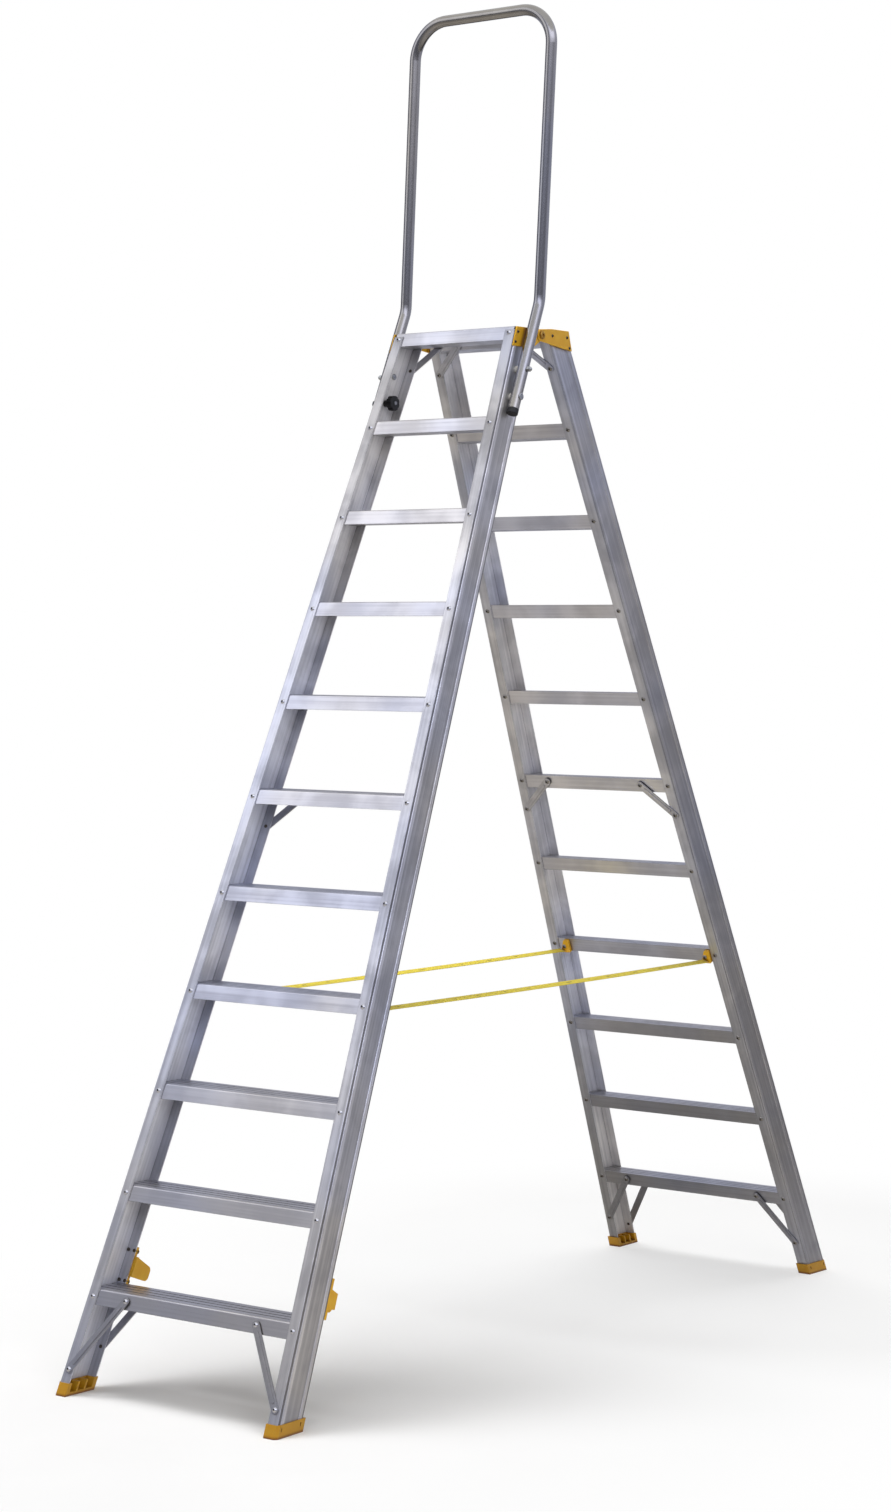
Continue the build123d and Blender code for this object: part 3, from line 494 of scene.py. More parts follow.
def set_rivet(name, head, smeared, dull, dark):
    """Pressed aluminium rivet: bright, smeared on outer flanges; in painted shade dull on inner ones, dark
    between.
    """
    material, tree, shader, place = new_material(name)
    out = out_of_middle(tree, place)
    outer = add_node(tree, "ShaderNodeMath", {0: out, 1: outer_out}, operation="GREATER_THAN").outputs[0]
    middle = add_node(tree, "ShaderNodeMath", {0: out, 1: inner_out}, operation="GREATER_THAN").outputs[0]
    smear = add_node(
        tree, "ShaderNodeTexNoise", {"Vector": place, "Scale": 1 / rivet_smear, "Detail": 3.0}
    ).outputs[0]
    bright = add_node(
        tree,
        "ShaderNodeMix",
        {"Factor": smear, colour_a: linear(head), colour_b: linear(smeared)},
        data_type="RGBA",
    ).outputs[colour_out]
    # Painted shade: rivets further in get dull and dark copies of the head's colour
    inward = add_node(
        tree,
        "ShaderNodeMix",
        {"Factor": middle, colour_a: linear(dull), colour_b: linear(dark)},
        data_type="RGBA",
    ).outputs[colour_out]
    colour = add_node(
        tree, "ShaderNodeMix", {"Factor": outer, colour_a: inward, colour_b: bright}, data_type="RGBA"
    ).outputs[colour_out]
    rough = add_node(
        tree, "ShaderNodeMapRange", {"Value": smear, "To Min": rivet_smooth, "To Max": rivet_rough}
    ).outputs[0]
    shader.inputs["Metallic"].default_value = 1.0
    for socket, value in (("Base Color", colour), ("Roughness", rough)):
        tree.links.new(value, shader.inputs[socket])
    return material


# Webbing's ribs, picks and tracer yarn, in millimetres of its UV map
rib_pitch = 2
pick_pitch = 3
tracer_run = 45
tracer_breadth = 50
tracer_half_width = 2.5

# Webbing's fuzz, weave, tracer and surface
fuzz_size = 9 * mm
weave_depth = 0.3 * mm
weave_strength = 0.5
weave_tone = 0.22
tone_low, tone_high = 0.25, 0.75
tracer_low, tracer_high = 0.56, 0.62
tracer_share = 0.55
webbing_roughness = 0.7
webbing_sheen = 0.25


def woven_polyester(name, light, dark, tracer):
    """Polyester webbing: ribs of warp along the strap, crossed by the weft, with a broken tracer yarn.

    UV is in millimetres of strap. Ribs are drawn 2 mm apart and weft picks 3 mm apart, about twice the
    real spacing, so that they show.
    """
    material, tree, shader, place = new_material(name)
    strap_place = add_node(tree, "ShaderNodeUVMap", uv_map="strap").outputs[0]
    split = add_node(tree, "ShaderNodeSeparateXYZ", {"Vector": strap_place}).outputs
    waves = []
    for spot, pitch in ((split["Y"], rib_pitch), (split["X"], pick_pitch)):
        turn = add_node(
            tree, "ShaderNodeMath", {0: spot, 1: 2 * math.pi / pitch}, operation="MULTIPLY"
        ).outputs[0]
        waves.append(add_node(tree, "ShaderNodeMath", {0: turn}, operation="SINE").outputs[0])
    rib, pick = waves
    weave = add_node(tree, "ShaderNodeMath", {0: rib, 1: pick}, operation="MULTIPLY").outputs[0]
    fuzz = add_node(
        tree, "ShaderNodeTexNoise", {"Vector": place, "Scale": 1 / fuzz_size, "Detail": 4.0}
    ).outputs[0]
    tone = add_node(
        tree, "ShaderNodeMath", {0: weave, 1: weave_tone, 2: fuzz}, operation="MULTIPLY_ADD"
    ).outputs[0]
    spread = add_node(
        tree, "ShaderNodeMapRange", {"Value": tone, "From Min": tone_low, "From Max": tone_high}
    ).outputs[0]
    yarn = add_node(
        tree,
        "ShaderNodeMix",
        {"Factor": spread, colour_a: linear(dark), colour_b: linear(light)},
        data_type="RGBA",
    ).outputs[colour_out]
    # The tracer is a dark yarn in the middle of the strap that comes to the face now and then
    lengthwise = add_node(
        tree,
        "ShaderNodeMapping",
        {"Vector": strap_place, "Scale": (1 / tracer_run, 1 / tracer_breadth, 0)},
    ).outputs[0]
    rise = add_node(
        tree, "ShaderNodeTexNoise", {"Vector": lengthwise, "Scale": 1.0, "Detail": 1.0}
    ).outputs[0]
    shown = add_node(
        tree,
        "ShaderNodeMapRange",
        {"Value": rise, "From Min": tracer_low, "From Max": tracer_high, "To Max": tracer_share},
    ).outputs[0]
    middle = add_node(
        tree, "ShaderNodeMath", {0: split["Y"], 1: 0.0, 2: tracer_half_width}, operation="COMPARE"
    ).outputs[0]
    traced = add_node(tree, "ShaderNodeMath", {0: shown, 1: middle}, operation="MULTIPLY").outputs[0]
    colour = add_node(
        tree, "ShaderNodeMix", {"Factor": traced, colour_a: yarn, colour_b: linear(tracer)}, data_type="RGBA"
    ).outputs[colour_out]
    relief = add_node(
        tree, "ShaderNodeBump", {"Height": weave, "Strength": weave_strength, "Distance": weave_depth}
    ).outputs[0]
    shader.inputs["Roughness"].default_value = webbing_roughness
    shader.inputs["Sheen Weight"].default_value = webbing_sheen
    for socket, value in (("Base Color", colour), ("Normal", relief)):
        tree.links.new(value, shader.inputs[socket])
    return material


# Finishes
along_stile = (-frame_lean, stile_splay, 0)
level = (0, 0, 0)
# Each edge colour paints shade along the edges; the corner number sets the painted shade in corners
stile_metal = mill_aluminium(
    "mill_aluminium_stile",
    along_stile,
    (7 * mm, 7 * mm, 700 * mm),
    pale="D4D5D9",
    deep="B0B1B6",
    dull=0.5,
    bright=0.38,
    bloom=0.22,
    corner_shade=0.15,
    relief=0.25,
    edge="5E606A",
)
# Painted highlight on the bands, painted shade on the strips, painted light in the channel's inside, darker
# rear web
stile_light_and_shade(stile_metal, strips=0.5, web=0.9, bands=1.35, inside=1.45, flange_low=1.15, flange_high=0.8)
tread_metal = mill_aluminium(
    "mill_aluminium_tread",
    level,
    (500 * mm, 6 * mm, 6 * mm),
    pale="D2D3D8",
    deep="BABBC1",
    dull=0.38,
    bright=0.29,
    bloom=0.12,
    corner_shade=1.0,
    relief=0.25,
    edge="70727A",
)
brace_metal = mill_aluminium(
    "mill_aluminium_brace",
    level,
    (25 * mm, 25 * mm, 25 * mm),
    pale="C8C9CE",
    deep="ACADB3",
    dull=0.42,
    bright=0.34,
    bloom=0.15,
    corner_shade=0.5,
    relief=0.25,
    edge="7A7C84",
)
tube_metal = mill_aluminium(
    "drawn_aluminium_tube",
    level,
    (60 * mm, 60 * mm, 900 * mm),
    pale="9E9D9B",
    deep="949392",
    dull=0.2,
    bright=0.18,
    bloom=0.03,
    corner_shade=0.0,
    relief=0.0,
    edge="999897",
    rounding=0.0,
)
# Rivet colours: outer head and smear, then the painted shade further in, dull and dark
rivet_metal = set_rivet("pressed_aluminium_rivet", "E6E7EB", "BFC0C7", "8F8B84", "575149")
stem_metal = zinc_plated_steel("steel_rivet_stem", "3E3A36", "1E1B18", rough_low=0.3, rough_high=0.5)
bolt_metal = zinc_plated_steel("zinc_plated_steel", "C6C8CA", "8E9194", rough_low=0.2, rough_high=0.36)
hinge_metal = zinc_plated_steel(
    "yellow_passivated_steel", "D8AC58", "94702E", rough_low=0.34, rough_high=0.5
)
# Each plastic: own colour, faded colour, painted edge highlight, and the dark tone of painted shade and of
# its lower parts
yellow_plastic = moulded_plastic(
    "yellow_polypropylene", "E2A80E", "E6B21E", "EFC84A", "7A4606", roughness=0.38
)
black_plastic = moulded_plastic("black_nylon", "0C0C0D", "171719", "2A2A2D", "030303", roughness=0.42)
pale_plastic = moulded_plastic("natural_nylon", "E4E1DA", "EDEBE6", "F4F3F0", "A39E94", roughness=0.4)
webbing = woven_polyester("yellow_polyester_webbing", "FBE838", "E6CB1C", "7A6A2A")
thread = moulded_plastic(
    "bonded_polyester_thread", "C9A21A", "DDB82E", "E6CC58", "6E5208", roughness=0.55
)

node_finish = {
    "stile": stile_metal,
    "tread": tread_metal,
    "braces": brace_metal,
    "rivets": rivet_metal,
    "shoe": yellow_plastic,
    "hinge_plate": yellow_plastic,
    "strap_clips": yellow_plastic,
    "transport_catch": yellow_plastic,
    "hinge_bolts": hinge_metal,
    "hinge_nuts": hinge_metal,
    "hand_hoop": tube_metal,
    "hoop_end_plugs": black_plastic,
    "hoop_spacers": pale_plastic,
    "hoop_bolts": bolt_metal,
    "hoop_dome_nuts": bolt_metal,
    "clamp_bolts": bolt_metal,
    "clamp_knob": black_plastic,
    "right_strap": webbing,
    "left_strap": webbing,
}


def dress_frame():
    """Give every CAD node the finish whose key is the longest part of its name."""
    for name, piece in frame["nodes"].items():
        key = max((key for key in node_finish if key in name), key=len)
        piece.data.materials.clear()
        piece.data.materials.append(node_finish[key])


def link(piece):
    """Put a new piece in the scene."""
    bpy.context.scene.collection.objects.link(piece)
    return piece


def built_piece(name, built, material):
    """Piece in the scene from a mesh that has been built, with its finish."""
    mesh = bpy.data.meshes.new(name)
    built.to_mesh(mesh)
    built.free()
    mesh.materials.append(material)
    return link(bpy.data.objects.new(name, mesh))


def flat_piece(name, corners, material):
    """Piece in the scene with one face, and its finish."""
    mesh = bpy.data.meshes.new(name)
    mesh.from_pydata(corners, [], [range(len(corners))])
    mesh.materials.append(material)
    return link(bpy.data.objects.new(name, mesh))


def shape_tree(name, sizes):
    """Geometry tree with a mesh going in and out, and a named input for each size."""
    tree = bpy.data.node_groups.new(name, "GeometryNodeTree")
    tree.interface.new_socket("Geometry", in_out="INPUT", socket_type="NodeSocketGeometry")
    tree.interface.new_socket("Geometry", in_out="OUTPUT", socket_type="NodeSocketGeometry")
    for size in sizes:
        tree.interface.new_socket(size, in_out="INPUT", socket_type="NodeSocketFloat")
    return tree, add_node(tree, "NodeGroupInput").outputs


def finish_tree(tree, instances, material):
    """End a tree: the copies become one mesh with one finish."""
    real = add_node(tree, "GeometryNodeRealizeInstances", {0: instances}).outputs[0]
    dressed = add_node(tree, "GeometryNodeSetMaterial", {"Geometry": real, "Material": material}).outputs[0]
    add_node(tree, "NodeGroupOutput", {0: dressed})


def grow(name, points, values, tree, sizes, material):
    """Plain mesh that a geometry tree makes on points, each with its own named values."""
    seed = bpy.data.meshes.new(f"{name}_points")
    seed.from_pydata(points, [], [])
    for value_name, kind, rows in values:
        layer = seed.attributes.new(value_name, kind, "POINT")
        for item, row in zip(layer.data, rows):
            setattr(item, "vector" if kind == "FLOAT_VECTOR" else "value", row)
    planted = link(bpy.data.objects.new(f"{name}_seed", seed))
    modifier = planted.modifiers.new(name, "NODES")
    modifier.node_group = tree
    for item in tree.interface.items_tree:
        if item.in_out == "INPUT" and item.name in sizes:
            modifier[item.identifier] = sizes[item.name]
    bpy.context.view_layer.update()
    evaluated = planted.evaluated_get(bpy.context.evaluated_depsgraph_get())
    grown = bpy.data.meshes.new_from_object(evaluated)
    bpy.data.objects.remove(planted)
    grown.name = name
    if material.name not in [slot.name for slot in grown.materials if slot]:
        grown.materials.append(material)
    return link(bpy.data.objects.new(name, grown))


# Rivet stems: the steel stub left in the middle of each head when the rivet was pulled
stem_radius = 2.6 * mm
stem_height = 0.7 * mm
stem_taper = 0.7
stem_sides = 12


def stem_tree():
    """A low tapered stub on every point, turned to the way the rivet's head faces."""
    tree, given = shape_tree("rivet_stem", ("Radius", "Height"))
    foot = given["Radius"]
    crown = add_node(tree, "ShaderNodeMath", {0: foot, 1: stem_taper}, operation="MULTIPLY").outputs[0]
    stub = add_node(
        tree,
        "GeometryNodeMeshCone",
        {"Vertices": stem_sides, "Radius Top": crown, "Radius Bottom": foot, "Depth": given["Height"]},
    ).outputs["Mesh"]
    facing = add_node(
        tree, "GeometryNodeInputNamedAttribute", {"Name": "facing"}, data_type="FLOAT_VECTOR"
    ).outputs["Attribute"]
    turn = add_node(tree, "FunctionNodeAlignRotationToVector", {"Vector": facing}, axis="Z").outputs[0]
    copies = add_node(
        tree,
        "GeometryNodeInstanceOnPoints",
        {"Points": given["Geometry"], "Instance": stub, "Rotation": turn},
    ).outputs[0]
    finish_tree(tree, copies, stem_metal)
    return tree


def rivet_heads(node):
    """Top of each rivet's head in a node, with the way that it faces.

    The head's top is its pole, where the most facets meet.
    """
    built = bmesh.new()
    built.from_mesh(frame["nodes"][node].data)
    bmesh.ops.remove_doubles(built, verts=built.verts, dist=merge_reach)
    built.normal_update()
    heads = []
    for start in built.verts:
        if start.tag:
            continue
        start.tag = True
        rivet = [start]
        for vert in rivet:
            for edge in vert.link_edges:
                other = edge.other_vert(vert)
                if not other.tag:
                    other.tag = True
                    rivet.append(other)
        pole = max(rivet, key=lambda vert: len(vert.link_faces))
        heads.append((pole.co.copy(), pole.normal.copy()))
    built.free()
    return heads


def rivet_stems():
    """The stubs in the rivets of each frame."""
    tree = stem_tree()
    sizes = {"Radius": stem_radius, "Height": stem_height}
    for name in frames:
        heads = rivet_heads(f"{name}_tread_rivets") + rivet_heads(f"{name}_fixing_rivets")
        points = [top for top, _ in heads]
        values = [("facing", "FLOAT_VECTOR", [way for _, way in heads])]
        stems = grow(f"{name}_rivet_stems", points, values, tree, sizes, stem_metal)
        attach(stems, f"{name}_frame")


# Straps: flat webbing from clip to clip, its ends turned under and sewn
strap_width = 20 * mm
strap_thickness = 1.6 * mm
hem_thickness = 2.8 * mm
hem_length = 60 * mm
strap_sag = 3 * mm
strap_tilt = math.radians(21.0)
strap_end_out = 18.2 * mm
strap_steps = 160
strap_ribs = 10
selvedge_power = 8
strap_across = Vector((math.cos(strap_tilt), 0, -math.sin(strap_tilt)))
strap_through = Vector((math.sin(strap_tilt), 0, math.cos(strap_tilt)))


def strap_end_y(height):
    """Y of the front end of a strap at a height: just clear of the clip's face."""
    return (height - hinge_place.z) * math.tan(frame_lean) - strap_end_out / math.cos(frame_lean)


def strap_middle(side):
    """Middle of a strap's solid."""
    low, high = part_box(f"{side}_strap")
    return (low + high) / 2


def strap_point(centre, share, wide, thick):
    """Point of a strap: share runs from -1 at the front end to 1 at the rear one."""
    sag = Vector((0, 0, strap_sag * (share * share - 1)))
    point = Vector((centre.x, 0, centre.z)) + sag + strap_across * wide + strap_through * thick
    point.y = -share * strap_end_y(point.z)
    return point


def crumple(piece):
    """Ride on the front frame, with a mesh of its own."""
    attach(piece, "front_frame")
    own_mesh(piece)


def strap(side):
    """Tilted ribbon with rounded selvedges, from the front clip to the rear one."""
    centre = strap_middle(side)
    section = []
    for face in (1, -1):
        for step in range(strap_ribs + 1):
            share = face * (step / strap_ribs * 2 - 1)
            swell = math.sqrt(max(0.0, 1 - abs(share) ** selvedge_power))
            section.append((share * strap_width / 2, face * swell / 2))
    built = bmesh.new()
    uv = built.loops.layers.uv.new("strap")
    half_length = -strap_end_y(centre.z)
    rings = []
    for step in range(strap_steps + 1):
        share = step / strap_steps * 2 - 1
        hemmed = (1 - abs(share)) * half_length < hem_length
        thickness = hem_thickness if hemmed else strap_thickness
        rings.append([
            built.verts.new(strap_point(centre, share, wide, thick * thickness)) for wide, thick in section
        ])
    count = len(section)
    for step in range(strap_steps):
        for index in range(count):
            corners = [(step, index), (step, index + 1), (step + 1, index + 1), (step + 1, index)]
            face = built.faces.new([rings[row][column % count] for row, column in corners])
            face.smooth = True
            for loop, (row, column) in zip(face.loops, corners):
                along = rings[row][column % count].co.y
                loop[uv].uv = (along / mm, section[column % count][0] / mm)
    for ring in (rings[0], rings[-1]):
        built.faces.new(ring)
    bmesh.ops.remove_doubles(built, verts=built.verts, dist=merge_reach)
    bmesh.ops.recalc_face_normals(built, faces=built.faces)
    piece = built_piece(f"{side}_webbing", built, webbing)
    crumple(piece)
    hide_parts(f"{side}_strap")


# Stitches: rows of thread through the hems
stitch_length = 3.4 * mm
stitch_pitch = 4.6 * mm
stitch_radius = 0.45 * mm
stitch_sides = 6
stitch_rows = (-7.5 * mm, -2.5 * mm, 2.5 * mm, 7.5 * mm)
hem_margin = 6 * mm


def stitch_tree():
    """A short thread along Y on every point."""
    tree, given = shape_tree("stitch", ("Length", "Radius"))
    half = add_node(tree, "ShaderNodeMath", {0: given["Length"], 1: 0.5}, operation="MULTIPLY").outputs[0]
    end = add_node(tree, "ShaderNodeCombineXYZ", {"Y": half}).outputs[0]
    start = add_node(tree, "ShaderNodeVectorMath", {0: end, "Scale": -1.0}, operation="SCALE").outputs[0]
    run = add_node(tree, "GeometryNodeCurvePrimitiveLine", {"Start": start, "End": end}).outputs[0]
    profile = add_node(
        tree, "GeometryNodeCurvePrimitiveCircle", {"Resolution": stitch_sides, "Radius": given["Radius"]}
    ).outputs[0]
    stitch = add_node(
        tree, "GeometryNodeCurveToMesh", {"Curve": run, "Profile Curve": profile, "Fill Caps": True}
    ).outputs[0]
    copies = add_node(
        tree, "GeometryNodeInstanceOnPoints", {"Points": given["Geometry"], "Instance": stitch}
    ).outputs[0]
    finish_tree(tree, copies, thread)
    return tree


def strap_stitches():
    """Four rows of stitches on both faces of every hem."""
    points = []
    for side in sides:
        centre = strap_middle(side)
        half_length = -strap_end_y(centre.z)
        count = int((hem_length - 2 * hem_margin) / stitch_pitch)
        for end in (-1, 1):
            for index in range(count + 1):
                share = end * (1 - (hem_margin + index * stitch_pitch) / half_length)
                for wide in stitch_rows:
                    for face in (-1, 1):
                        points.append(strap_point(centre, share, wide, face * hem_thickness / 2))
    sizes = {"Length": stitch_length, "Radius": stitch_radius}
    crumple(grow("strap_stitches", points, [], stitch_tree(), sizes, thread))


# Studio floor
floor_half = 60.0
feet_reach = 1.0  # the feet's distance from the middle
floor_near = 0.3  # the shadow is whole this far round the feet
floor_far = 1.9  # and gone here
whiter_from = -0.5  # towards the rear the floor turns whiter
whiter_to = 0.6
rear_white = 0.55
scuff_size = 588 * mm
floor_roughness = 0.6

# Studio world's light on things, where 1 is white
world_level = 0.34

# Studio curtain's size, its level from low down to the top, and the glow of three of its parts
curtain_radius = 14.0
curtain_height = 14.0
curtain_rise = 4.0
curtain_low = 0.27
curtain_high = 0.8
left_behind = Vector((-0.8, 0.6, 0.0))
left_glow = 0.6
left_glow_heights = (4.3, 3.3)  # none at the first height, full at the second
camera_glow = 2.4
camera_glow_heights = (6.5, 10.0)
right_behind = Vector((0.6, 0.8, 0.0))
right_glow = 0.55
round_sides = 64

# Studio cloth's size and levels, with the ladder's shadow painted on it
cloth_radius = 13.0
cloth_height = 1 * mm
cloth_shadow_middle = (-0.35, 0.55, 0.0)  # the middle of the ladder's painted shadow
cloth_shadow_reach = (0.3, 1.2)
cloth_shadow_level = 0.18
cloth_level = 0.64
cloth_far_reach = (3.0, 7.0)
cloth_far_level = 0.36
cloth_rear_shade_reach = (1.4, 3.0)
cloth_rear_shade_share = 0.35

# Studio flag, with the left and right edge of its foot and of its head
flag_foot = (0.87, 2.3)
flag_head = (1.4, 2.2)
flag_depth = 2.5
flag_height = 2.8
flag_level = 0.05


def seen_rays(tree):
    """1 for what is seen, directly or in gloss or glass, and 0 for light that falls on things."""
    rays = add_node(tree, "ShaderNodeLightPath").outputs
    seen = rays["Is Camera Ray"]
    for kind in ("Is Glossy Ray", "Is Transmission Ray"):
        seen = add_node(tree, "ShaderNodeMath", {0: seen, 1: rays[kind]}, operation="MAXIMUM").outputs[0]
    return seen


def studio_floor():
    """Pale floor that keeps the shadow near the feet, most of all in front, and runs out to white."""
    material, tree, shader, place = new_material("pale_floor")
    corners = [(-1, -1), (1, -1), (1, 1), (-1, 1)]
    floor = flat_piece("studio_floor", [(x * floor_half, y * floor_half, 0) for x, y in corners], material)
    folded = add_node(tree, "ShaderNodeVectorMath", {0: place}, operation="ABSOLUTE").outputs[0]
    reach = add_node(
        tree, "ShaderNodeVectorMath", {0: folded, 1: (0, feet_reach, 0)}, operation="DISTANCE"
    ).outputs["Value"]
    far = add_node(
        tree,
        "ShaderNodeMapRange",
        {"Value": reach, "From Min": floor_near, "From Max": floor_far},
        interpolation_type="SMOOTHSTEP",
    ).outputs[0]
    depth = add_node(tree, "ShaderNodeSeparateXYZ", {"Vector": place}).outputs["Y"]
    behind = add_node(
        tree,
        "ShaderNodeMapRange",
        {"Value": depth, "From Min": whiter_from, "From Max": whiter_to, "To Max": rear_white},
        interpolation_type="SMOOTHSTEP",
    ).outputs[0]
    white_part = add_node(tree, "ShaderNodeMath", {0: far, 1: behind}, operation="MAXIMUM").outputs[0]
    share = add_node(
        tree, "ShaderNodeMath", {0: white_part, 1: seen_rays(tree)}, operation="MULTIPLY"
    ).outputs[0]
    scuff = add_node(
        tree, "ShaderNodeTexNoise", {"Vector": place, "Scale": 1 / scuff_size, "Detail": 5.0}
    ).outputs[0]
    tone = add_node(
        tree,
        "ShaderNodeMix",
        {"Factor": scuff, colour_a: linear("F0F0F0"), colour_b: linear("FAFAFA")},
        data_type="RGBA",
    ).outputs[colour_out]
    tree.links.new(tone, shader.inputs["Base Color"])
    shader.inputs["Roughness"].default_value = floor_roughness
    white = add_node(tree, "ShaderNodeEmission", {"Strength": 1.0}).outputs[0]
    mixed = add_node(tree, "ShaderNodeMixShader", {0: share, 1: shader.outputs[0], 2: white}).outputs[0]
    tree.links.new(mixed, tree.nodes["Material Output"].inputs["Surface"])


def studio_world():
    """White to the camera and in reflections, and a plain level of light on everything else."""
    world = bpy.data.worlds.new("studio")
    bpy.context.scene.world = world
    world.use_nodes = True
    world.cycles.sampling_method = "NONE"
    tree = world.node_tree
    strength = add_node(
        tree, "ShaderNodeMapRange", {"Value": seen_rays(tree), "To Min": world_level, "To Max": 1.0}
    ).outputs[0]
    background = tree.nodes["Background"]
    background.inputs["Color"].default_value = (1, 1, 1, 1)
    tree.links.new(strength, background.inputs["Strength"])


def glow_in_gloss(piece, tint, strength):
    """Let a piece of the studio glow in reflections, and be seen nowhere else."""
    tree = piece.data.materials[0].node_tree
    light = add_node(tree, "ShaderNodeEmission", {"Color": linear(tint), "Strength": strength}).outputs[0]
    tree.links.new(light, tree.nodes["Material Output"].inputs["Surface"])
    for kind in ("camera", "diffuse", "transmission", "volume_scatter", "shadow"):
        setattr(piece, f"visible_{kind}", False)


def studio_surround():
    """Grey curtain round the set that only reflections see.

    It is palest low down left behind and high up at the camera, and a little paler right behind.
    """
    material, tree, _, place = new_material("grey_curtain")
    built = bmesh.new()
    bmesh.ops.create_cone(
        built, segments=round_sides, radius1=curtain_radius, radius2=curtain_radius, depth=curtain_height
    )
    bmesh.ops.translate(built, verts=built.verts, vec=(0, 0, curtain_height / 2))
    curtain = built_piece("studio_surround", built, material)
    height = add_node(tree, "ShaderNodeSeparateXYZ", {"Vector": place}).outputs["Z"]
    rise = add_node(
        tree,
        "ShaderNodeMapRange",
        {
            "Value": height,
            "From Min": curtain_rise,
            "From Max": curtain_height,
            "To Min": curtain_low,
            "To Max": curtain_high,
        },
    ).outputs[0]
    leftward, rightward = [
        add_node(
            tree, "ShaderNodeVectorMath", {0: place, 1: way / curtain_radius}, operation="DOT_PRODUCT"
        ).outputs["Value"]
        for way in (left_behind, right_behind)
    ]
    lift, facing, right = [
        add_node(
            tree,
            "ShaderNodeMapRange",
            {"Value": turned, "From Min": edge, "From Max": middle, "To Max": glow},
            interpolation_type="SMOOTHSTEP",
        ).outputs[0]
        for turned, edge, middle, glow in (
            (leftward, 0.3, 0.95, left_glow),
            (leftward, -0.3, -0.95, camera_glow),
            (rightward, 0.5, 0.95, right_glow),
        )
    ]
    glow = rise
    for part, (start, full) in ((lift, left_glow_heights), (facing, camera_glow_heights)):
        reached = add_node(
            tree, "ShaderNodeMapRange", {"Value": height, "From Min": start, "From Max": full}
        ).outputs[0]
        glow = add_node(
            tree, "ShaderNodeMath", {0: part, 1: reached, 2: glow}, operation="MULTIPLY_ADD"
        ).outputs[0]
    glow = add_node(tree, "ShaderNodeMath", {0: glow, 1: right}, operation="ADD").outputs[0]
    glow_in_gloss(curtain, "DEE1F4", glow)


def studio_cloth():
    """Grey cloth round the ladder that only reflections see, with the ladder's shadow painted under its rear
    left.
    """
    material, tree, _, place = new_material("grey_cloth")
    built = bmesh.new()
    bmesh.ops.create_circle(built, cap_ends=True, segments=round_sides, radius=cloth_radius)
    bmesh.ops.translate(built, verts=built.verts, vec=(0, 0, cloth_height))
    cloth = built_piece("studio_cloth", built, material)
    away = add_node(
        tree, "ShaderNodeVectorMath", {0: place, 1: cloth_shadow_middle}, operation="DISTANCE"
    ).outputs["Value"]
    reach = add_node(tree, "ShaderNodeVectorMath", {0: place}, operation="LENGTH").outputs["Value"]
    depth = add_node(tree, "ShaderNodeSeparateXYZ", {"Vector": place}).outputs["Y"]
    # Painted shadow of the ladder round its middle, and painted shade towards the rear
    near, far, behind = [
        add_node(
            tree,
            "ShaderNodeMapRange",
            {"Value": value, "From Min": start, "From Max": end, "To Min": first, "To Max": last},
        ).outputs[0]
        for value, (start, end), first, last in (
            (away, cloth_shadow_reach, cloth_shadow_level, cloth_level),
            (reach, cloth_far_reach, cloth_level, cloth_far_level),
            (depth, cloth_rear_shade_reach, 1.0, cloth_rear_shade_share),
        )
    ]
    tone = add_node(tree, "ShaderNodeMath", {0: near, 1: far}, operation="MINIMUM").outputs[0]
    shaded = add_node(tree, "ShaderNodeMath", {0: tone, 1: behind}, operation="MULTIPLY").outputs[0]
    glow_in_gloss(cloth, "FFF8F0", shaded)


def studio_flag():
    """Dark panel behind on the right that only reflections see."""
    material = new_material("dark_flag")[0]
    outline = [(flag_foot[0], 0), (flag_foot[1], 0), (flag_head[1], flag_height), (flag_head[0], flag_height)]
    flag = flat_piece("studio_flag", [(x, flag_depth, z) for x, z in outline], material)
    glow_in_gloss(flag, "FFE0C8", flag_level)


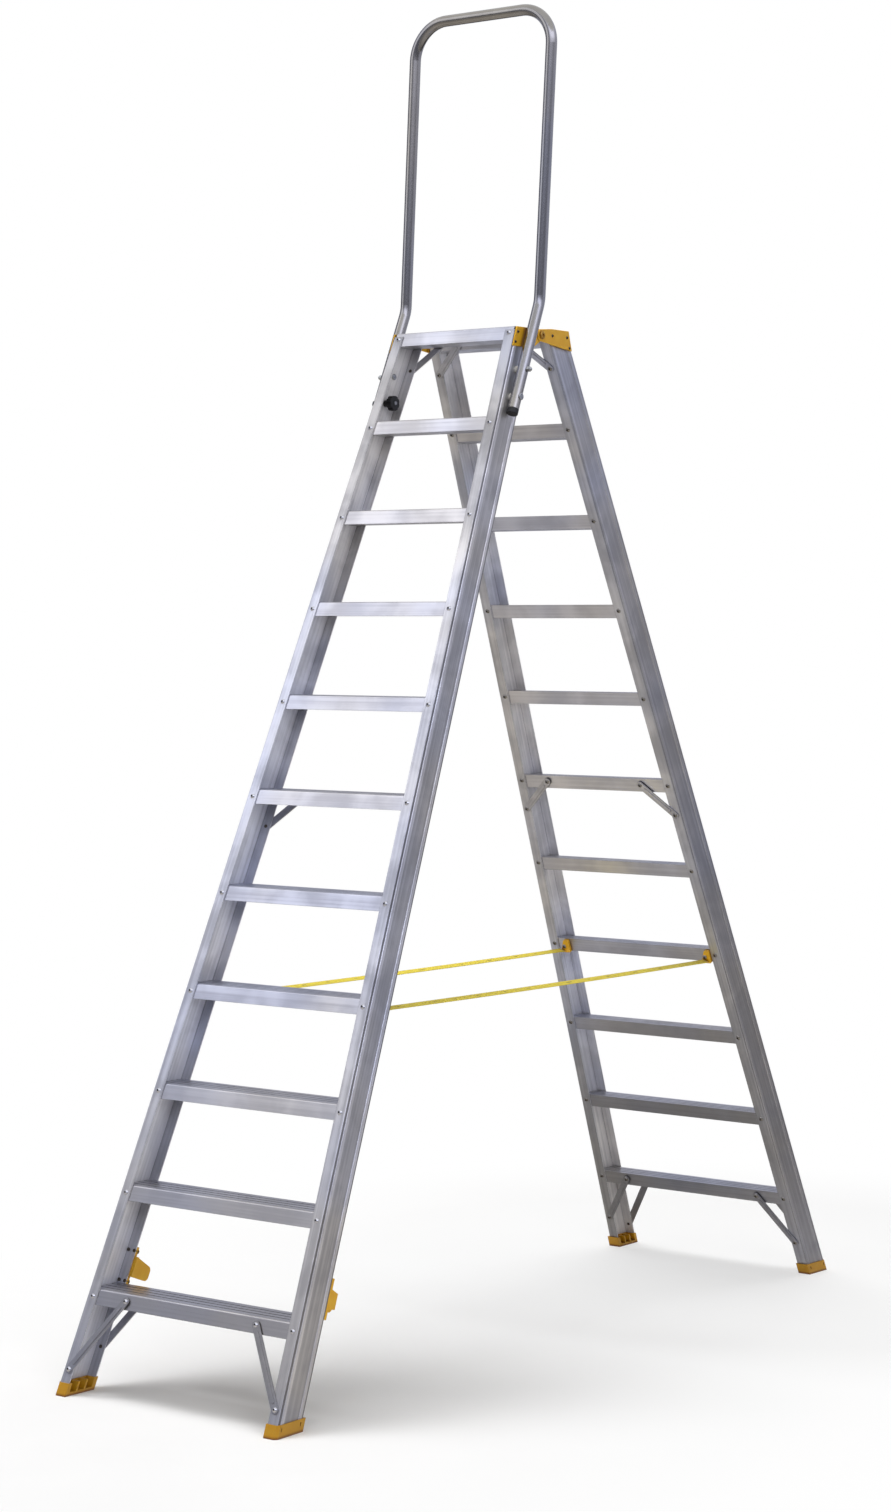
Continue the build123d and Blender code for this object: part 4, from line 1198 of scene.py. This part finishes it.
def softbox(name, place, target, size, power, tint, in_gloss):
    """Square soft lamp at a place, turned to a target."""
    lamp = bpy.data.lights.new(name, "AREA")
    lamp.shape = "SQUARE"
    lamp.size = size
    lamp.energy = power
    lamp.color = linear(tint)[:3]
    box = link(bpy.data.objects.new(name, lamp))
    box.location = place
    box.rotation_euler = (Vector(target) - Vector(place)).to_track_quat("-Z", "Y").to_euler()
    box.visible_glossy = in_gloss


# Ceiling lamps, two alike
ceiling_lamps = {"left_ceiling_light": (-1.9, -0.9, 8.0), "right_ceiling_light": (-0.1, 0.5, 8.0)}


def studio_lamps():
    """Ceiling lamps, a softbox in front on the left that shows in gloss, and one beside the camera."""
    for name, place in ceiling_lamps.items():
        softbox(name, place, target=(0, 0, 0), size=2.4, power=230, tint="FFFFFF", in_gloss=False)
    softbox(
        "front_softbox",
        place=(-4.4, -4.1, 5.4),
        target=(0, -0.6, 1.3),
        size=4.0,
        power=55,
        tint="FCFCFF",
        in_gloss=True,
    )
    softbox(
        "camera_softbox",
        place=(7.2, -5.2, 4.4),
        target=(0, 0, 1.5),
        size=3.0,
        power=130,
        tint="FFFFFF",
        in_gloss=False,
    )


# Camera: the photograph's place, its turn in degrees and its lens in pixels of the 891 x 1512 image
image_height = 1512
focal_pixels = 3149.9
principal_row = 627.4
camera_place = (5.0047, -6.7357, 1.8374)
camera_yaw = 37.228
camera_pitch = 0.156
camera_roll = 0.224
sensor_size = 36.0


def photo_camera():
    """Camera at the photograph's place, turn and lens."""
    data = bpy.data.cameras.new("photo_camera")
    data.sensor_fit = "VERTICAL"
    data.sensor_width = data.sensor_height = sensor_size
    data.lens = focal_pixels * sensor_size / image_height
    data.shift_y = principal_row / image_height - 0.5
    camera = link(bpy.data.objects.new("photo_camera", data))
    turns = ((camera_yaw, "Z"), (90 + camera_pitch, "X"), (camera_roll, "Z"))
    camera.matrix_world = Matrix.Translation(camera_place)
    for angle, axis in turns:
        camera.matrix_world = camera.matrix_world @ Matrix.Rotation(math.radians(angle), 4, axis)
    bpy.context.scene.camera = camera


dress_frame()
rivet_stems()
for side in sides:
    strap(side)
strap_stitches()
studio_floor()
studio_world()
studio_surround()
studio_cloth()
studio_flag()
studio_lamps()
photo_camera()
bpy.context.scene.view_settings.view_transform = "Standard"

bpy.context.view_layer.update()
